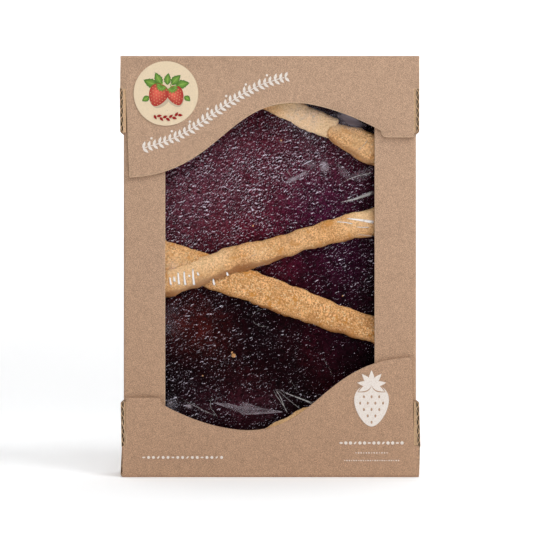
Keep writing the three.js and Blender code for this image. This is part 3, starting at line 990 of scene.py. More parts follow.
class Print:
    """Collects flat shapes in x and z, each over the one before and each with a tone from its
    middle to its rim."""

    def __init__(self, face):
        self.face = face
        self.lift = PRINT_LIFT
        self.points = []
        self.faces = []
        self.finishes = []
        self.tones = []

    def shape(self, outline, finish=0, middle=None, middle_tone=0.5, rim_tone=0.5):
        middle = middle or centre_of(outline)
        self.lift += PRINT_STEP
        start = len(self.points)
        count = len(outline)
        self.points.append((middle[0], self.face(*middle) - self.lift, middle[1]))
        self.tones.append(middle_tone)
        for share, tone in ((0.55, (middle_tone + rim_tone) / 2), (1.0, rim_tone)):
            for x, z in outline:
                px, pz = middle[0] + (x - middle[0]) * share, middle[1] + (z - middle[1]) * share
                self.points.append((px, self.face(px, pz) - self.lift, pz))
                self.tones.append(tone)
        for i in range(count):
            j = (i + 1) % count
            self.faces.append((start, start + 1 + i, start + 1 + j))
            self.faces.append((start + 1 + i, start + 1 + count + i, start + 1 + count + j,
                               start + 1 + j))
        self.finishes += [finish] * (2 * count)

    def piece(self, name, materials):
        mesh = mesh_of(name, self.points, self.faces)
        mesh.polygons.foreach_set("material_index", self.finishes)
        set_values(mesh, "tone", self.tones)
        for material in materials:
            mesh.materials.append(material)
        made = new_piece(name, mesh)
        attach(made, "root")
        return made


def turned(points, degrees, at):
    """Points turned about the origin and moved to a place."""
    c, s = math.cos(math.radians(degrees)), math.sin(math.radians(degrees))
    return [(at[0] + x * c - z * s, at[1] + x * s + z * c) for x, z in points]


def disc(radius, steps=16, squash=1.0):
    return [(radius * math.cos(2 * math.pi * i / steps),
             radius * squash * math.sin(2 * math.pi * i / steps)) for i in range(steps)]


def leaf_shape(span, width, teeth=0, bend=0.0):
    """A pointed leaf along x from the origin, with a toothed edge if asked."""
    steps = 14
    upper, lower = [], []
    for i in range(steps + 1):
        along = i / steps
        belly = math.sin(math.pi * along ** 0.8) * width / 2
        tooth = 1 + 0.12 * math.sin(along * math.pi * 2 * teeth) if teeth else 1
        curve = bend * span * math.sin(math.pi * along)
        upper.append((along * span, belly * tooth + curve))
        lower.append((along * span, -belly * tooth + curve))
    return lower[:-1] + upper[:0:-1]


def berry_shape(width, height, steps=36):
    """A berry with its broad end up and its tip down, centred on the origin."""
    made = []
    for i in range(steps):
        angle = 2 * math.pi * i / steps
        up = math.cos(angle)
        made.append((-width / 2 * math.sin(angle) * (0.86 + 0.24 * up), height / 2 * up))
    return made


def berry_half(width, up):
    """Half the berry's width at a height, from -0.5 at its tip to 0.5 at its top."""
    return width / 2 * (0.86 + 0.24 * 2 * up) * math.sqrt(max(0, 1 - (2 * up) ** 2))


def along_path(path, spacing):
    """Places and slopes in degrees at equal steps along a path."""
    points = np.array(path)
    steps = np.hypot(*np.diff(points, axis=0).T)
    run = np.concatenate([[0], np.cumsum(steps)])
    count = int(run[-1] / spacing)
    made = []
    for i in range(count + 1):
        s = (run[-1] - count * spacing) / 2 + i * spacing
        x = np.interp(s, run, points[:, 0])
        z = np.interp(s, run, points[:, 1])
        ahead = min(s + 0.5 * MM, run[-1])
        behind = max(s - 0.5 * MM, 0)
        dx = np.interp(ahead, run, points[:, 0]) - np.interp(behind, run, points[:, 0])
        dz = np.interp(ahead, run, points[:, 1]) - np.interp(behind, run, points[:, 1])
        made.append(((x, z), math.degrees(math.atan2(dz, dx))))
    return made


GARLAND = [(-90, 232.5), (-78, 236), (-66, 240.5), (-54, 247), (-42, 255.5), (-30, 264),
           (-18, 271.5), (-6, 277.5), (6, 281.5), (11, 282.6)]
EMBLEM = (71.8, 51.0)
EMBLEM_SIZE = (27.5, 30.0)
DOT_ROWS = (((71.8, 24.4), 43.0, 1.9, 3.1), ((71.8, 17.4), 22.0, 0.8, 1.7),
            ((71.8, 12.0), 38.0, 0.8, 1.6), ((-61.6, 14.2), 55.0, 1.7, 3.4))


def add_garland(ink):
    """Pairs of small leaves on a thin stem, following the flap's curve."""
    path = [(x * MM, z * MM) for x, z in GARLAND]
    stem = along_path(path, 2.0 * MM)
    width = 0.3 * MM
    for ((x, z), slope), ((ahead_x, ahead_z), _) in zip(stem, stem[1:]):
        right, up = -math.sin(math.radians(slope)) * width, math.cos(math.radians(slope)) * width
        ink.shape([(x - right, z - up), (ahead_x - right, ahead_z - up),
                   (ahead_x + right, ahead_z + up), (x + right, z + up)])
    for i, (point, slope) in enumerate(along_path(path, 3.9 * MM)):
        span = (4.4 if i % 3 else 5.2) * MM
        for lift in (56, -56):
            ink.shape(turned(leaf_shape(span, 2.0 * MM), slope + lift, point))
        if i % 4 == 2:
            above = (point[0] - math.sin(math.radians(slope)) * 5.0 * MM,
                     point[1] + math.cos(math.radians(slope)) * 5.0 * MM)
            ink.shape(turned(disc(0.85 * MM), 0, above))


def add_emblem(ink):
    """A plain berry with a leafy crown, its seeds and the line under its crown left bare."""
    width, height = (value * MM for value in EMBLEM_SIZE)
    centre = (EMBLEM[0] * MM, EMBLEM[1] * MM)
    ink.shape(turned(berry_shape(width, height, 60), 0, centre))
    for x, z in emblem_seeds():
        ink.shape(turned(disc(0.72 * MM, 12, 1.5), 0, (x * MM, z * MM)), 1)
    crown = (centre[0], centre[1] + height / 2 - 0.5 * MM)
    angles = (-28, 8, 48, 90, 132, 172, 208)
    for angle in angles:
        ink.shape(turned(leaf_shape(11.2 * MM, 5.4 * MM), angle, crown), 1)
    for angle in angles:
        ink.shape(turned(leaf_shape(10.4 * MM, 3.8 * MM), angle, crown))


def add_dot_row(ink, centre, span, radius, spacing):
    count = int(span / spacing)
    for i in range(count + 1):
        x = (centre[0] - span / 2 + span * i / count) * MM
        squash = 1.0 if i % 3 else 0.55
        ink.shape(turned(disc(radius * MM / 1.6, 12, squash), 45 * (i % 2), (x, centre[1] * MM)))


def emblem_seeds():
    """Where the emblem's bare seeds lie, in staggered rows."""
    width, height = EMBLEM_SIZE
    made = []
    for row in range(5):
        z = height * (0.2 - 0.15 * row)
        half = berry_half(width, z / height)
        for column in range(-3, 4):
            x = (column + 0.5 * (row % 2)) * 5.4
            if abs(x) < half - 1.9:
                made.append((EMBLEM[0] + x, EMBLEM[1] + z))
    return made


def ink_material():
    """White ink on board: thin, so that the fibres show through it."""
    made, tree, shader = new_material("White ink")
    fibre = use_group(tree, paper_fibre(), Grain=1200.0, Cloud=90.0, Specks=0.3)
    thin = blend(tree, 0.24, colours().ink, colours().kraft)
    worn = blend(tree, ramp(tree, fibre.outputs["Tone"], 0.55, 0.1), colours().ink, thin)
    set_inputs(tree, shader, {
        "Base Color": worn, "Normal": bump(tree, fibre.outputs["Height"], 0.0001, 0.5),
        "Roughness": 0.8, "Specular IOR Level": 0.2})
    return made


def make_print():
    """White ornaments on the flaps, with gaps in the board's colour."""
    ink = Print(board_face)
    add_garland(ink)
    add_emblem(ink)
    for row in DOT_ROWS:
        add_dot_row(ink, *row)
    piece = ink.piece("white_print", (ink_material(), bpy.data.materials["Brown board"]))


# The round label, with printed berries.

LABEL_LOW, LABEL_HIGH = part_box("label")
LABEL_CENTRE = ((LABEL_LOW.x + LABEL_HIGH.x) / 2, (LABEL_LOW.z + LABEL_HIGH.z) / 2)
BERRIES = (((-5.6, -1.2), (15.5, 16.5), -22), ((7.0, -1.6), (13.0, 14.5), 24))
LEAVES = (((-6.0, 6.0), 10.5, 6.4, 160), ((-3.0, 6.5), 9.5, 5.6, 118), ((1.0, 6.0), 8.5, 5.0, 84),
          ((4.0, 6.0), 9.5, 5.6, 48), ((7.0, 5.0), 10.0, 6.2, 14), ((-12.0, -2.0), 6.0, 4.2, 215),
          ((13.0, -2.0), 5.5, 4.0, -40))
GARLAND_RADIUS = 17.4


def on_label(x, z):
    return (LABEL_CENTRE[0] + x * MM, LABEL_CENTRE[1] + z * MM)


def label_face(x, z):
    return LABEL_LOW.y


def add_berry(art, place_at, extent, tilt, rng):
    """One printed berry: a soft shadow under it, its body with a light side, seeds and crown."""
    x, z = place_at
    width, height = extent
    shadow = turned(berry_shape(width * MM * 1.02, height * MM * 0.8), tilt,
                    on_label(x + 0.5, z - height * 0.17))
    art.shape(shadow, 3)
    light = turned([(-width * 0.14 * MM, height * 0.14 * MM)], tilt, on_label(x, z))[0]
    art.shape(turned(berry_shape(width * MM, height * MM), tilt, on_label(x, z)), 1, light, 0.95,
              0.12)
    for row in range(7):
        up = 0.34 - 0.12 * row
        half = berry_half(width, up)
        for column in range(-3, 4):
            across = (column + 0.5 * (row % 2)) * 2.2 + rng.uniform(-0.15, 0.15)
            if abs(across) < half - 0.7:
                point = turned([(across * MM, up * height * MM)], tilt, on_label(x, z))[0]
                art.shape(turned(disc(0.24 * MM, 8, 1.5), tilt, point), 2, None, 0.9, 0.5)
    crown = turned([(0, height * 0.43 * MM)], tilt, on_label(x, z))[0]
    for k in range(7):
        angle = tilt + 180 + 6 + 28 * k
        art.shape(turned(leaf_shape(4.6 * MM, 1.7 * MM), angle, crown), 0, None, 0.9, 0.2)
    art.shape(turned(leaf_shape(3.4 * MM, 0.8 * MM, 0, 0.1), tilt + 90, crown), 0, None, 0.8, 0.6)


def make_label():
    """The cream round with its printed berries, leaves and red garland."""
    paper = frame["nodes"]["label"]
    paper.data.materials.clear()
    paper.data.materials.append(paper_material("Cream paper", colours().cream, 0.05, 0.8))
    art = Print(label_face)
    for (x, z), span, width, angle in LEAVES:
        art.shape(turned(leaf_shape(span * MM, width * MM, 5, 0.04), angle, on_label(x, z)), 0,
                  None, 0.7, 0.1)
        art.shape(turned(leaf_shape(span * 0.9 * MM, 0.35 * MM, 0, 0.04), angle, on_label(x, z)),
                  0, None, 1.0, 1.0)
    rng = random.Random(SEED)
    for berry in BERRIES:
        add_berry(art, *berry, rng)
    for k in range(-4, 5):
        angle = 270 + k * 7.2
        point = on_label(GARLAND_RADIUS * math.cos(math.radians(angle)),
                         GARLAND_RADIUS * math.sin(math.radians(angle)))
        leaf = leaf_shape(3.6 * MM, 1.9 * MM)
        art.shape(turned(leaf, angle + 90 + (32 if k % 2 else -32), point), 1, None, 0.0, 0.0)
    piece = art.piece("label_print", (
        printed_material("Leaf print", colours().leaf, srgb(150, 190, 84)),
        printed_material("Berry print", colours().berry, srgb(240, 112, 92)),
        printed_material("Seed print", srgb(206, 132, 82), srgb(246, 208, 150)),
        paper_material("Printed shadow", times(colours().cream, 0.72), 0.05, 0.2)))


# The pastry: each strip and the case are remeshed finely from the imported solids. A spot is a
# place, a reach and a strength, and an edge is a line between two places with the same. The brown
# spots and edges are partly baked brown and partly painted shade on the strips' lower sides; the
# pale spots are partly floury pastry and partly painted light, on upper sides and where the top
# flap shades the top strips.

PASTRY_ROUGHNESS = 0.42 * MM
CRUST_COARSER = 2.5          # how much coarser the case is meshed, which hardly shows
BROWN_AND_SHADE_SPOTS = {
    "strip_middle_rising": ((-48, 134, 9, 1.4), (-32, 139, 9, 1.5), (14, 169, 6, 0.7),
                            (-16, 146, 11, 0.8), (36, 176, 5, 0.3), (-22, 150, 6, 0.4),
                            (-72, 128, 7, 0.7)),
    "strip_middle_falling": ((6, 134, 4, 0.6), (-48, 140, 8, 0.5), (66, 112, 7, 0.5),
                             (30, 112, 6, 0.3), (50, 104, 9, 0.5)),
    "strip_top_left": ((30, 262, 8, 0.9), (20, 250, 12, 0.5), (34, 247, 8, 0.6)),
    "strip_top_right": ((47, 246, 6, 0.5), (62, 232, 10, 0.4)),
}
BROWN_AND_SHADE_EDGES = {
    "strip_middle_rising": (((-50, 135.4), (-34, 141.0), 2.3, 1.8),
                            ((-34, 141.0), (-12, 148.6), 2.6, 2.0),
                            ((-12, 148.6), (10, 156.0), 1.5, 1.0),
                            ((-73, 129.6), (-50, 135.4), 1.2, 0.6),
                            ((-73, 129.6), (-12, 148.6), 4.5, 0.1),
                            ((-12, 148.6), (75, 175.0), 4.0, 0.16)),
    "strip_middle_falling": (((-42, 130.6), (0, 118.6), 1.1, 0.8),
                             ((0, 118.6), (28, 105.0), 1.1, 0.8),
                             ((28, 105.0), (75, 92.6), 1.2, 0.9),
                             ((-42, 130.6), (28, 105.0), 4.0, 0.16),
                             ((28, 105.0), (75, 92.6), 5.0, 0.2)),
    "strip_top_left": (((6, 252.5), (24, 246.0), 1.6, 0.7), ((24, 246.0), (42, 241.0), 1.6, 0.6)),
    "strip_top_right": (((44, 240.0), (73, 222.0), 1.2, 0.5),),
}
# Partly painted light: the top strips are paled where the top flap shades them, and the middle
# strips along their upper sides.
PALE_AND_LIT_SPOTS = {
    "strip_top_left": ((14, 262, 14, 0.7), (30, 256, 15, 1.2), (40, 250, 14, 1.2),
                       (22, 250, 12, 0.7)),
    "strip_top_right": ((46, 251, 6, 0.8), (58, 244, 12, 0.25), (70, 234, 12, 0.3)),
    "strip_middle_rising": ((-66, 142, 10, 0.65), (-50, 150, 12, 0.6), (-34, 157, 9, 0.5),
                            (-8, 160, 10, 0.35), (20, 168, 14, 0.25), (60, 184, 12, 0.45),
                            (70, 186, 10, 0.5)),
    "strip_middle_falling": ((-68, 150, 12, 0.35), (-60, 144, 8, 0.4)),
    "strip_bottom": ((10, 42, 20, 0.6),),
}


def applied(piece):
    """The piece with its modifiers made part of its mesh."""
    graph = bpy.context.evaluated_depsgraph_get()
    mesh = bpy.data.meshes.new_from_object(piece.evaluated_get(graph))
    old = piece.data
    piece.modifiers.clear()
    piece.data = mesh
    bpy.data.meshes.remove(old)
    return piece


def fine_copy(node, name, voxel):
    """A finely meshed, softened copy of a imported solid."""
    piece = new_piece(name, frame["nodes"][node].data.copy())
    remesh = piece.modifiers.new("Fine", "REMESH")
    remesh.mode = "VOXEL"
    remesh.voxel_size = voxel
    remesh.adaptivity = 0
    soften = piece.modifiers.new("Soften", "SMOOTH")
    soften.factor = 0.5
    soften.iterations = 4
    applied(piece)
    piece.data.shade_smooth()
    return piece


def crumbled(mesh, seed):
    """Pushes a surface in and out as baked dough is, most at its edges."""
    points, normals = points_of(mesh), points_of(mesh, "normal")
    edgewise = 1 - np.abs(normals[:, 1])
    lumps = clouds(points, ((5.5, 0.55, seed), (2.1, 0.3, seed + 1), (1.3, 0.3, seed + 3)))
    ragged = clouds(points, ((4.2, 1.7, seed + 2),)) * edgewise
    moved = points + normals * ((lumps + ragged) * PASTRY_ROUGHNESS)[:, None]
    move_points(mesh, moved)
    return moved, normals


def browning_and_shade_of(points, normals, spots, edges, seed):
    """How brown each point is, baked brown and painted shade together: along the edges that turn
    down, and round the given spots.
    """
    # Painted shade: faces that turn down are darkened as if light came from above.
    under = np.clip(-normals[:, 2] * 1.6 - 0.45, 0, 1)
    upper = np.clip(normals[:, 2] * 1.2 - 0.55, 0, 1) * 0.25
    patchy = 0.5 + 0.5 * cloud_at(points, 0.016, seed + 5)
    brown = under * (0.25 + 0.6 * patchy) + upper * patchy
    for x, z, reach, strength in spots:
        apart = np.hypot(points[:, 0] - x * MM, points[:, 2] - z * MM) / (reach * MM)
        rough = 1 + 0.35 * cloud_at(points, 0.005, seed + 9)
        low = 0.5 + 0.5 * np.clip(-normals[:, 2] * 2 + 0.1, 0, 1)
        brown += strength * np.clip(1.2 - apart * rough, 0, 1) * low
    for start, end, reach, strength in edges:
        apart = from_line(points, start, end) / (reach * MM)
        rough = 1 + 0.5 * cloud_at(points, 0.004, seed + 12)
        brown += strength * np.clip(1.5 - apart * rough, 0, 1)
    return np.clip(brown, 0, 1)


def from_line(points, start, end):
    """How far each point is from a line between two places, seen from the front."""
    first = np.array(start) * MM
    along = np.array(end) * MM - first
    seen = points[:, [0, 2]] - first
    share = np.clip(seen @ along / (along @ along), 0, 1)
    return np.hypot(*(seen - share[:, None] * along).T)


def make_pastry():
    material = pastry_material()
    for order, node in enumerate([*STRIP_NODES, "crust"]):
        is_strip = node != "crust"
        voxel = sizes().pastry_grain * (1 if is_strip else CRUST_COARSER)
        piece = fine_copy(node, "baked_" + node, voxel)
        points, normals = crumbled(piece.data, 11 + 3 * order)
        brown = browning_and_shade_of(points, normals, BROWN_AND_SHADE_SPOTS.get(node, ()),
                            BROWN_AND_SHADE_EDGES.get(node, ()), 31 + order)
        floury_and_lit = np.clip(spread(points, PALE_AND_LIT_SPOTS.get(node, ())), 0, 1)
        set_values(piece.data, "browning_and_shade", brown)
        set_values(piece.data, "floury_and_lit", floury_and_lit)
        piece.data.materials.clear()
        piece.data.materials.append(material)
        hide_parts(node)
        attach(piece, "root")


# The jam.

JAM_LOW, JAM_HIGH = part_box("jam")
JAM_DEPTHS = (0.05, 0.95, 2.0)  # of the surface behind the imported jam, in millimetres
JAM_LUMPS = 1.05                # how strongly the lumps change that depth
RED_PATCHES = ((-60, 215, 48, 0.62), (-20, 222, 46, 0.62), (20, 205, 40, 0.42),
               (-30, 190, 36, 0.42), (-8, 178, 26, 0.25), (45, 196, 30, 0.4), (48, 150, 32, 0.3),
               (14, 150, 22, 0.34), (-62, 112, 18, 0.42), (-42, 100, 18, 0.26), (-62, 90, 16, 0.1),
               (-20, 60, 24, 0.14), (26, 96, 18, 0.14), (48, 96, 22, 0.12), (40, 66, 14, 0.12))
CLOUDY_PATCHES = ((-66, 208, 40, 0.66), (-36, 226, 36, 0.5), (4, 228, 34, 0.22),
                  (40, 222, 26, 0.36), (-62, 186, 24, 0.3), (-66, 118, 9, 0.05),
                  (-50, 49, 14, 0.2), (-22, 48, 16, 0.25), (-2, 50, 12, 0.2))
VIOLET_PATCHES = ((60, 150, 40, 1.0), (50, 205, 36, 0.7), (20, 190, 30, 0.3), (56, 96, 26, 0.7))
RUST_PATCHES = ((-62, 112, 30, 1.0), (-40, 92, 24, 0.8), (0, 60, 40, 0.7), (-50, 205, 30, 0.25))
# Where the jam's painted glints are denser or sparser.
GLINT_PATCHES = ((-40, 210, 60, 0.4), (20, 215, 40, 0.12), (30, 235, 20, 0.25), (-62, 110, 22, 0.1),
               (66, 160, 20, 0.2), (-70, 60, 14, 0.25), (10, 135, 26, -0.1), (50, 90, 30, -0.3),
               (0, 85, 40, -0.2), (30, 160, 20, -0.1))


def spread(points, patches):
    """The sum of soft round patches, each a place, a reach and a strength, in millimetres."""
    total = np.zeros(len(points))
    for x, z, reach, strength in patches:
        apart = np.hypot(points[:, 0] / MM - x, points[:, 2] / MM - z) / reach
        total += strength * np.exp(-apart ** 2)
    return total


def grid_sheet(name, low, high, spacing):
    """A flat grid in x and z facing -Y, at y 0."""
    columns = int((high[0] - low[0]) / spacing)
    rows = int((high[1] - low[1]) / spacing)
    xs = np.linspace(low[0], high[0], columns + 1)
    zs = np.linspace(low[1], high[1], rows + 1)
    points = [(x, 0.0, z) for z in zs for x in xs]
    wide = columns + 1
    faces = [(r * wide + c, r * wide + c + 1, (r + 1) * wide + c + 1, (r + 1) * wide + c)
             for r in range(rows) for c in range(columns)]
    return mesh_of(name, points, faces), (rows + 1, columns + 1)


def closed_behind(mesh, back_y):
    """Gives an open sheet a skirt and a flat back, so that it is one solid."""
    work = bmesh.new()
    work.from_mesh(mesh)
    rim = [edge for edge in work.edges if edge.is_boundary]
    made = bmesh.ops.extrude_edge_only(work, edges=rim)
    added = [item for item in made["geom"] if isinstance(item, bmesh.types.BMVert)]
    for vertex in added:
        vertex.co.y = back_y
    loop = [edge for edge in work.edges if edge.is_boundary]
    bmesh.ops.edgeloop_fill(work, edges=loop)
    bmesh.ops.recalc_face_normals(work, faces=work.faces)
    work.to_mesh(mesh)
    work.free()


def make_jam():
    """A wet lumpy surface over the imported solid's form."""
    mesh, _ = grid_sheet("jam_surface", (JAM_LOW.x, JAM_LOW.z), (JAM_HIGH.x, JAM_HIGH.z),
                         sizes().jam_grid)
    points = points_of(mesh)
    slanting = points.copy()
    slanting[:, 0] = points[:, 0] * 0.8 + points[:, 2] * 0.45
    slanting[:, 2] = points[:, 2] * 1.15 - points[:, 0] * 0.35
    lumps = (clouds(points, ((19, 0.42, 3), (1.7, 0.2, 6)))
             + clouds(slanting, ((6.2, 0.45, 4), (3.1, 0.42, 5))))
    least, middle, most = JAM_DEPTHS
    points[:, 1] = JAM_LOW.y + np.clip(middle - lumps * JAM_LUMPS, least, most) * MM
    move_points(mesh, points)
    red = spread(points, RED_PATCHES) * (1 + 0.35 * cloud_at(points, 0.012, 8))
    cloudy = spread(points, CLOUDY_PATCHES) * (0.8 + 0.5 * cloud_at(points, 0.009, 9))
    # wet sets the density of the jam's painted glints.
    wet = 0.45 + spread(points, GLINT_PATCHES) + 0.35 * cloud_at(points, 0.014, 12)
    violet = 0.9 * spread(points, VIOLET_PATCHES)
    rust = spread(points, RUST_PATCHES)
    closed_behind(mesh, JAM_HIGH.y)
    behind = np.zeros(len(mesh.vertices) - len(points))
    for name, values in (("red", red), ("cloudy", cloudy), ("wet", wet),
                         ("violet", violet), ("rust", rust)):
        set_values(mesh, name, np.concatenate([np.clip(values, 0, 1), behind]))
    mesh.materials.append(jam_material())
    mesh.shade_smooth()
    piece = new_piece("jam_surface", mesh)
    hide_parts("jam")
    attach(piece, "root")


# The clear film over the tart, and its creases. Places and widths are in millimetres. A veil is a
# patch of painted milky sheen, a haze a lap of painted milky sheen with its strength, and a crease
# a path of painted highlight with its width at either end and its strength. A glint bar is a
# painted glint: a place with its upper and lower end. Two veils over the top left strip are also
# painted light that lifts it out of the top flap's shadow.

FILM_INSET = 1.0 * MM
FILM_GAP = 0.22 * MM         # between the film and what it touches
FILM_WRINKLE = 0.12 * MM
CREASE_LIFT = 0.12 * MM
CREASE_RIDGE = 0.22 * MM
LAP_LIFT = 0.15 * MM
GLINT_WIDTHS = (1.0, 1.6)
GLINT_TONE = 2.2
SHEEN_VEILS = ((52, 257, 6, 0.6), (60, 253, 6, 0.45), (30, 255, 10, 0.26), (18, 258, 8, 0.18),
         (-71, 106, 6, 0.08), (-71, 117, 5, 0.08), (-70, 50, 4, 0.3), (-70, 150, 3, 0.25))
SHEEN_HAZES = (
    (((46, 257.8), (53, 258.5), (60.8, 255), (68.6, 250), (65, 247.9), (56.6, 249.3),
      (50.9, 252.9)), 2.0),
    (((35.0, 224.0), (38.5, 225.5), (42.5, 222.5), (43.0, 217.0), (39.0, 215.0), (35.5, 218.0)),
     0.5),
    (((46.0, 224.0), (52.0, 221.0), (58.0, 215.0), (56.0, 211.0), (50.0, 214.0)), 0.22),
    (((52.0, 214.0), (62.0, 217.0), (73.0, 221.0), (73.0, 213.0), (62.0, 209.0)), 0.2),
    (((8.5, 208.0), (13.0, 211.5), (20.0, 214.8), (27.5, 218.5), (28.0, 215.0), (20.0, 210.8),
      (12.0, 207.4)), 0.5),
    (((22.0, 223.5), (28.0, 226.0), (34.0, 223.0), (32.0, 219.0), (25.0, 219.5)), 0.2),
    (((-60.9, 47.6), (-60.3, 49.8), (-58.0, 51.0), (-55.6, 49.8), (-55.2, 47.4)), 0.7),
    (((-73.4, 54.5), (-70.5, 55.0), (-68.6, 51.0), (-70.0, 48.2), (-73.4, 49.0)), 0.4),
)
CREASES = (
    (((3.9, 61.5), (7.6, 55.5), (10.3, 48.9), (12.6, 44.4)), 0.45, 0.5, 0.75),
    (((2.4, 61.2), (4.6, 56.8), (7.6, 52.6), (10.2, 48.2)), 0.4, 0.4, 0.6),
    (((4.6, 61.6), (12.0, 55.0), (22.6, 46.8)), 0.35, 0.35, 0.55),
    (((5.2, 61.8), (14.0, 57.6), (30.4, 51.4)), 0.3, 1.5, 0.5),
    (((-62.8, 54.0), (-50.0, 47.4), (-37.4, 41.7)), 0.35, 0.45, 0.4),
    (((-40.9, 57.6), (-42.4, 49.0), (-37.4, 41.7)), 0.4, 0.6, 0.4),
    (((-56.0, 52.6), (-49.0, 46.8), (-44.0, 43.6)), 0.35, 0.35, 0.3),
    (((53.6, 183.2), (63.0, 182.2), (74.4, 180.4)), 0.6, 2.4, 1.5),
    (((47.0, 180.8), (53.0, 180.4), (59.0, 179.3)), 0.6, 0.9, 1.1),
    (((60.6, 177.2), (65.5, 176.9), (71.0, 176.9)), 0.7, 0.7, 0.8),
    (((62.0, 172.0), (68.0, 171.2), (74.0, 170.5)), 0.6, 0.6, 0.5),
    (((51.5, 209.6), (62.0, 213.4), (73.0, 216.0)), 0.5, 1.3, 0.32),
    (((50.0, 194.8), (60.0, 197.0), (74.0, 202.0)), 0.8, 3.0, 0.5),
    (((11.9, 217.8), (13.8, 215.2), (15.8, 213.0)), 0.4, 0.4, 0.5),
    (((62.0, 231.0), (67.0, 235.5), (70.0, 239.5)), 0.35, 0.5, 0.45),
    (((13.0, 70.0), (17.0, 64.5), (19.6, 60.0)), 0.3, 0.3, 0.3),
    (((38.0, 83.5), (42.0, 77.0), (44.6, 71.0)), 0.3, 0.4, 0.25),
    (((-13.5, 110.5), (-7.0, 106.4), (-1.8, 106.4)), 0.35, 0.5, 0.4),
    (((-14.0, 112.0), (-10.0, 116.6), (-4.0, 119.4)), 0.3, 0.3, 0.3),
)
# Painted sheen: a grey fold of film, drawn as a lap.
GREY_FOLD_SHEEN = ((-40.9, 51.8), (-28.9, 51.1), (-22.1, 48.9), (-18.5, 51.8), (-5.6, 47.9), (8.8, 45.0),
             (-17.1, 43.2), (-22.8, 45.3))
# Painted glints: short white bars where the film is pulled tight.
GLINT_BARS = ((-71.0, 142.0, 135.4), (-68.2, 142.6, 137.8), (-65.2, 145.4, 135.6),
              (-60.9, 145.8, 135.6), (-57.6, 143.6, 141.4), (-54.7, 147.8, 135.6),
              (-51.4, 145.4, 142.4), (-40.2, 140.6, 135.4), (-30.5, 145.4, 142.2))


class Drape:
    """The film's height field: a grid of y over x and z."""

    def __init__(self, low, high, spacing):
        self.mesh, self.shape = grid_sheet("film_wrap", low, high, spacing)
        self.low, self.high = low, high
        self.points = points_of(self.mesh)
        self.y = self.fallen()

    def fallen(self):
        """How the film lies: on what it meets first, smoothed as a taut sheet."""
        graph = bpy.context.evaluated_depsgraph_get()
        trees = [BVHTree.FromObject(o, graph) for o in bpy.context.scene.objects
                 if o.name.startswith("baked_") or o.name == "jam_surface"]
        ahead = Vector((0, 1, 0))
        met = np.full(len(self.points), JAM_LOW.y)
        for i, (x, _, z) in enumerate(self.points):
            start = Vector((x, FRONT - 0.01, z))
            found = [tree.ray_cast(start, ahead)[0] for tree in trees]
            near = [hit.y for hit in found if hit is not None]
            if near:
                met[i] = min(near)
        met = met.reshape(self.shape)
        lying = met.copy()
        for _ in range(3):
            lying = np.minimum(lying, smoothed(reached(lying)))
        return np.minimum(smoothed(lying), met) - FILM_GAP

    def at(self, x, z):
        """The film's y at a place."""
        rows, columns = self.shape
        c = (x - self.low[0]) / (self.high[0] - self.low[0]) * (columns - 1)
        r = (z - self.low[1]) / (self.high[1] - self.low[1]) * (rows - 1)
        c = min(max(c, 0), columns - 1.001)
        r = min(max(r, 0), rows - 1.001)
        i, j = int(r), int(c)
        block = self.y[i:i + 2, j:j + 2]
        across = block[:, 0] * (1 - c + j) + block[:, 1] * (c - j)
        return across[0] * (1 - r + i) + across[1] * (r - i)


def reached(field):
    """Each cell takes the nearest value to the viewer among itself and its neighbours."""
    made = field.copy()
    for axis in (0, 1):
        for step in (-1, 1):
            made = np.minimum(made, np.roll(field, step, axis))
    return made


def smoothed(field):
    made = field.copy()
    for _ in range(2):
        for axis in (0, 1):
            made = (made * 2 + np.roll(made, 1, axis) + np.roll(made, -1, axis)) / 4
    return made


def ribbon(drape, path, start_width, end_width, tone):
    """A tapered ribbon of film along a path, as points, faces and tones."""
    line = along_path([(x * MM, z * MM) for x, z in smooth_path(path)], 1.0 * MM)
    points, faces, tones = [], [], []
    count = len(line)
    for i, ((x, z), slope) in enumerate(line):
        share = i / max(1, count - 1)
        half = (start_width + (end_width - start_width) * share) * MM / 2
        out = (-math.sin(math.radians(slope)), math.cos(math.radians(slope)))
        for k, side in enumerate((-1, 0, 1)):
            px, pz = x + out[0] * half * side, z + out[1] * half * side
            lift = CREASE_LIFT + (CREASE_RIDGE if k == 1 else 0)
            points.append((px, drape.at(px, pz) - lift, pz))
            fade = min(1.0, 6 * share, 6 * (1 - share) + 0.25)
            tones.append(tone * fade * (0.4 if side else 1))
    for i in range(count - 1):
        for k in (0, 1):
            a = 3 * i + k
            faces.append((a, a + 3, a + 4, a + 1))
    return points, faces, tones


def smooth_path(path):
    """A curve through the path's points."""
    points = [np.array(p) for p in path]
    points = [2 * points[0] - points[1], *points, 2 * points[-1] - points[-2]]
    made = []
    for a, b, c, d in zip(points, points[1:], points[2:], points[3:]):
        for i in range(8):
            t = i / 8
            made.append(0.5 * (2 * b + (c - a) * t + (2 * a - 5 * b + 4 * c - d) * t * t
                               + (3 * b - a - 3 * c + d) * t ** 3))
    made.append(points[-2])
    return [tuple(p) for p in made]


def lap(drape, outline, tone, rim_share=0.0):
    """A milky lap of film, fading to its rim."""
    ring = smooth_path([*outline, outline[0]])[:-1]
    middle = centre_of(ring)
    count = len(ring)
    points, tones = [], []
    for share, strength in ((0.02, 1.0), (0.6, 0.8), (1.0, rim_share)):
        for x, z in ring:
            px, pz = middle[0] + (x - middle[0]) * share, middle[1] + (z - middle[1]) * share
            points.append((px * MM, drape.at(px * MM, pz * MM) - LAP_LIFT, pz * MM))
            tones.append(tone * strength)
    faces = [tuple(range(count))]
    for level in (0, 1):
        for i in range(count):
            j = (i + 1) % count
            a = level * count
            faces.append((a + i, a + count + i, a + count + j, a + j))
    return points, faces, tones


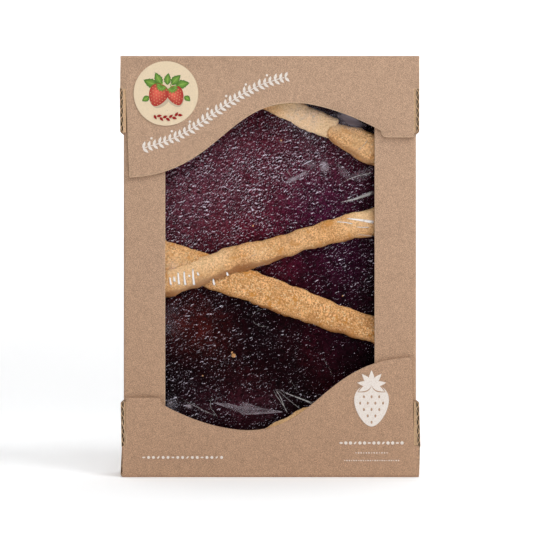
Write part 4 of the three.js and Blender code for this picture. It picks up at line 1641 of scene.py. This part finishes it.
def thin_piece(name, parts, material):
    """One piece of several thin parts, each with its points, faces and tones."""
    all_points, all_faces, all_tones = [], [], []
    for points, faces, tones in parts:
        start = len(all_points)
        all_points += points
        all_faces += [tuple(start + i for i in face) for face in faces]
        all_tones += tones
    mesh = mesh_of(name, all_points, all_faces)
    set_values(mesh, "tone", all_tones)
    mesh.materials.append(material)
    mesh.shade_smooth()
    return new_piece(name, mesh)


def make_film():
    """The film sheet, then its creases, laps and the bright bars where it is pulled tight, which
    carry painted sheen, highlights and glints.
    """
    drape = Drape((JAM_LOW.x + FILM_INSET, JAM_LOW.z + FILM_INSET),
                  (JAM_HIGH.x - FILM_INSET, JAM_HIGH.z - FILM_INSET), sizes().film_grid)
    points = drape.points
    points[:, 1] = drape.y.ravel()
    points[:, 1] -= FILM_WRINKLE * np.clip(cloud_at(points, 0.011, 21), 0, 1)
    move_points(drape.mesh, points)
    sheen_veil = spread(points, SHEEN_VEILS) * (0.75 + 0.5 * cloud_at(points, 0.006, 22))
    crinkle_glint = np.clip(0.4 * cloud_at(points, 0.02, 23), 0, 0.3)
    set_values(drape.mesh, "sheen_veil", np.clip(sheen_veil, 0, 0.8))
    set_values(drape.mesh, "crinkle_glint", crinkle_glint)
    drape.mesh.materials.append(film_material())
    drape.mesh.shade_smooth()
    sheet = new_piece("film_wrap", drape.mesh)

    laps = [lap(drape, GREY_FOLD_SHEEN, 0.34, 1.4)]
    laps += [lap(drape, outline, tone) for outline, tone in SHEEN_HAZES]
    parts = [ribbon(drape, *crease) for crease in CREASES]
    for x, top, low in GLINT_BARS:
        path = ((x, top), (x + 0.2, (top + low) / 2), (x + 0.9, low))
        parts.append(ribbon(drape, path, *GLINT_WIDTHS, GLINT_TONE))
    pieces = [sheet, thin_piece("film_creases", parts, crease_material()),
              thin_piece("film_sheen_laps", laps, lap_material())]
    for piece in pieces:
        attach(piece, "root")


# Crumbs on the jam.

CRUMBS = ((-26.0, 85.4, 1.5), (-27.0, 87.6, 0.7), (29, 262.4, 0.8), (-12, 178.0, 0.6),
          (8, 239, 0.6), (52, 128, 0.5), (-48, 71, 0.5))


def make_crumbs():
    rng = random.Random(SEED + 1)
    work = bmesh.new()
    for x, z, radius in CRUMBS:
        made = bmesh.ops.create_icosphere(work, subdivisions=2, radius=radius * MM)
        for vertex in made["verts"]:
            stretch = 1 + rng.uniform(-0.28, 0.28)
            vertex.co = vertex.co * stretch
            vertex.co.y *= 0.5
            vertex.co += Vector((x * MM, JAM_LOW.y + 0.2 * MM, z * MM))
    mesh = bpy.data.meshes.new("pastry_crumbs")
    work.to_mesh(mesh)
    work.free()
    set_values(mesh, "browning_and_shade", np.zeros(len(mesh.vertices)))
    set_values(mesh, "floury_and_lit", np.zeros(len(mesh.vertices)))
    mesh.materials.append(bpy.data.materials["Baked pastry"])
    mesh.shade_smooth()
    piece = new_piece("pastry_crumbs", mesh)
    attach(piece, "root")


# The stage: camera, floor, light.

CAMERA_DISTANCE = 1.25
CAMERA_ASIDE = -2.4 * MM
PICTURE_WIDTH = 376.5 * MM
SENSOR = 36.0
SWEEP_START = 0.45
SWEEP_RADIUS = 0.25
SWEEP_REACH = 12.0
FLOOR_GLOW = (0.3, 0.305, 0.31, 1)
WALL_GLOW = (0.58, 0.58, 0.58, 1)
ROOM_LIGHT = (0.1, 0.3)      # from the viewer's side and from behind
SURROUND = 1.05              # how bright the surround looks
LIGHT_DISTANCE = 2.2
LIGHT_SIZE = 0.8
LIGHTS = {"key": (12.0, 32.0, 11.6), "top": (45.0, 51.0, 19.8)}  # degrees aside and up, watts


def make_camera():
    data = bpy.data.cameras.new("camera")
    data.sensor_width = SENSOR
    data.lens = SENSOR * CAMERA_DISTANCE / PICTURE_WIDTH
    data.clip_end = 50
    camera = bpy.data.objects.new("camera", data)
    camera.location = (CAMERA_ASIDE, FRONT - CAMERA_DISTANCE, HEIGHT / 2)
    camera.rotation_euler = (math.radians(90), 0, 0)
    bpy.context.scene.collection.objects.link(camera)
    bpy.context.scene.camera = camera


def make_sweep():
    """A white floor that curves up behind the pack. It isn't seen from behind."""
    curve = arc((SWEEP_START, SWEEP_RADIUS), SWEEP_RADIUS, 270, 360, 16)
    profile = [(-SWEEP_REACH, 0.0), *curve, (SWEEP_START + SWEEP_RADIUS, SWEEP_REACH)]
    points = [(x, y, z) for y, z in profile for x in (-SWEEP_REACH, SWEEP_REACH)]
    faces = [(2 * i, 2 * i + 1, 2 * i + 3, 2 * i + 2) for i in range(len(profile) - 1)]
    mesh = mesh_of("white_sweep", points, faces)
    mesh.shade_smooth()
    made, tree, shader = new_material("White sweep")
    rise = add_node(tree, "ShaderNodeSeparateXYZ", {0: place(tree)}).outputs[2]
    glow = blend(tree, ramp(tree, rise, 0.0, 0.2), FLOOR_GLOW, WALL_GLOW)
    behind = add_node(tree, "ShaderNodeNewGeometry").outputs["Backfacing"]
    set_inputs(tree, shader, {
        "Base Color": (0.94, 0.945, 0.95, 1), "Roughness": 1.0, "Specular IOR Level": 0.0,
        "Emission Color": glow, "Emission Strength": 0.6,
        "Alpha": calculate(tree, "SUBTRACT", 1.0, behind)})
    mesh.materials.append(made)
    new_piece("white_sweep", mesh)


def add_light(name, place_at, aim_at, power):
    data = bpy.data.lights.new(name, "AREA")
    data.shape = "SQUARE"
    data.size = LIGHT_SIZE
    data.energy = power
    made = bpy.data.objects.new(name, data)
    made.location = place_at
    made.rotation_euler = (aim_at - place_at).to_track_quat("-Z", "Y").to_euler()
    bpy.context.scene.collection.objects.link(made)


def make_room():
    """Even light from all round, weaker from the viewer's side, and a white surround."""
    world = bpy.data.worlds.new("surround")
    world.use_nodes = True
    tree = world.node_tree
    tree.nodes.clear()
    axes = add_node(tree, "ShaderNodeSeparateXYZ", {
        0: add_node(tree, "ShaderNodeTexCoord").outputs["Generated"]})
    level = add_node(tree, "ShaderNodeMapRange", {
        0: axes.outputs[1], 1: -1.0, 2: -0.3, 3: ROOM_LIGHT[0], 4: ROOM_LIGHT[1]},
        interpolation_type="SMOOTHSTEP")
    room = add_node(tree, "ShaderNodeBackground", {0: (1, 1, 1, 1), 1: level.outputs[0]})
    seen = add_node(tree, "ShaderNodeBackground", {0: (1, 1, 1, 1), 1: SURROUND})
    path = add_node(tree, "ShaderNodeLightPath")
    mixed = add_node(tree, "ShaderNodeMixShader", {
        0: path.outputs["Is Camera Ray"], 1: room.outputs[0], 2: seen.outputs[0]})
    out = add_node(tree, "ShaderNodeOutputWorld")
    tree.links.new(mixed.outputs[0], out.inputs[0])
    bpy.context.scene.world = world


def make_stage():
    """Camera, white sweep, two soft lights from the upper right and an even white room."""
    bpy.context.scene.view_settings.view_transform = "Standard"
    make_camera()
    make_sweep()
    aim = Vector((0, 0, HEIGHT / 2))
    for name, (degrees_aside, degrees_up, power) in LIGHTS.items():
        aside, rise = math.radians(degrees_aside), math.radians(degrees_up)
        towards = Vector((math.sin(aside) * math.cos(rise), -math.cos(aside) * math.cos(rise),
                          math.sin(rise)))
        add_light(name, aim + towards * LIGHT_DISTANCE, aim, power)
    make_room()


# The add-on.


class TART_OT_stage(bpy.types.Operator):
    """Make the camera, the floor and the lights"""

    bl_idname = "tart.make_stage"
    bl_label = "Stage"

    def execute(self, context):
        make_stage()
        return {"FINISHED"}


class TART_OT_carton(bpy.types.Operator):
    """Make the corrugated carton"""

    bl_idname = "tart.make_carton"
    bl_label = "Carton"

    def execute(self, context):
        make_carton()
        return {"FINISHED"}


class TART_OT_print(bpy.types.Operator):
    """Make the white ornaments printed on the flaps"""

    bl_idname = "tart.make_print"
    bl_label = "Print"

    def execute(self, context):
        make_print()
        return {"FINISHED"}


class TART_OT_label(bpy.types.Operator):
    """Make the round label and what is printed on it"""

    bl_idname = "tart.make_label"
    bl_label = "Label"

    def execute(self, context):
        make_label()
        return {"FINISHED"}


class TART_OT_pastry(bpy.types.Operator):
    """Make the pastry case and the strips"""

    bl_idname = "tart.make_pastry"
    bl_label = "Pastry"

    def execute(self, context):
        make_pastry()
        return {"FINISHED"}


class TART_OT_jam(bpy.types.Operator):
    """Make the jam's wet surface"""

    bl_idname = "tart.make_jam"
    bl_label = "Jam"

    def execute(self, context):
        make_jam()
        return {"FINISHED"}


class TART_OT_film(bpy.types.Operator):
    """Make the clear film and its creases. The pastry and the jam come first"""

    bl_idname = "tart.make_film"
    bl_label = "Film"

    def execute(self, context):
        make_film()
        return {"FINISHED"}


class TART_OT_crumbs(bpy.types.Operator):
    """Make the crumbs on the jam. The pastry comes first"""

    bl_idname = "tart.make_crumbs"
    bl_label = "Crumbs"

    def execute(self, context):
        make_crumbs()
        return {"FINISHED"}


OPERATORS = (TART_OT_stage, TART_OT_carton, TART_OT_print, TART_OT_label, TART_OT_pastry,
             TART_OT_jam, TART_OT_film, TART_OT_crumbs)


class TART_PT_panel(bpy.types.Panel):
    """Lists the steps that build the tart"""

    bl_idname = "TART_PT_panel"
    bl_label = "Boxed strawberry tart"
    bl_space_type = "VIEW_3D"
    bl_region_type = "UI"
    bl_category = "Tart"

    def draw(self, context):
        for operator in OPERATORS:
            self.layout.operator(operator.bl_idname)
        for group in (context.scene.tart_sizes, context.scene.tart_colours):
            column = self.layout.column()
            for name in group.__annotations__:
                column.prop(group, name)


CLASSES = (TartSizes, TartColours, *OPERATORS, TART_PT_panel)


def register():
    for made in CLASSES:
        bpy.utils.register_class(made)
    bpy.types.Scene.tart_sizes = bpy.props.PointerProperty(type=TartSizes)
    bpy.types.Scene.tart_colours = bpy.props.PointerProperty(type=TartColours)


def unregister():
    del bpy.types.Scene.tart_colours
    del bpy.types.Scene.tart_sizes
    for made in reversed(CLASSES):
        bpy.utils.unregister_class(made)


def main():
    register()
    bpy.ops.tart.make_stage()
    bpy.ops.tart.make_carton()
    bpy.ops.tart.make_print()
    bpy.ops.tart.make_label()
    bpy.ops.tart.make_pastry()
    bpy.ops.tart.make_jam()
    bpy.ops.tart.make_film()
    bpy.ops.tart.make_crumbs()


if __name__ == "__main__":
    main()
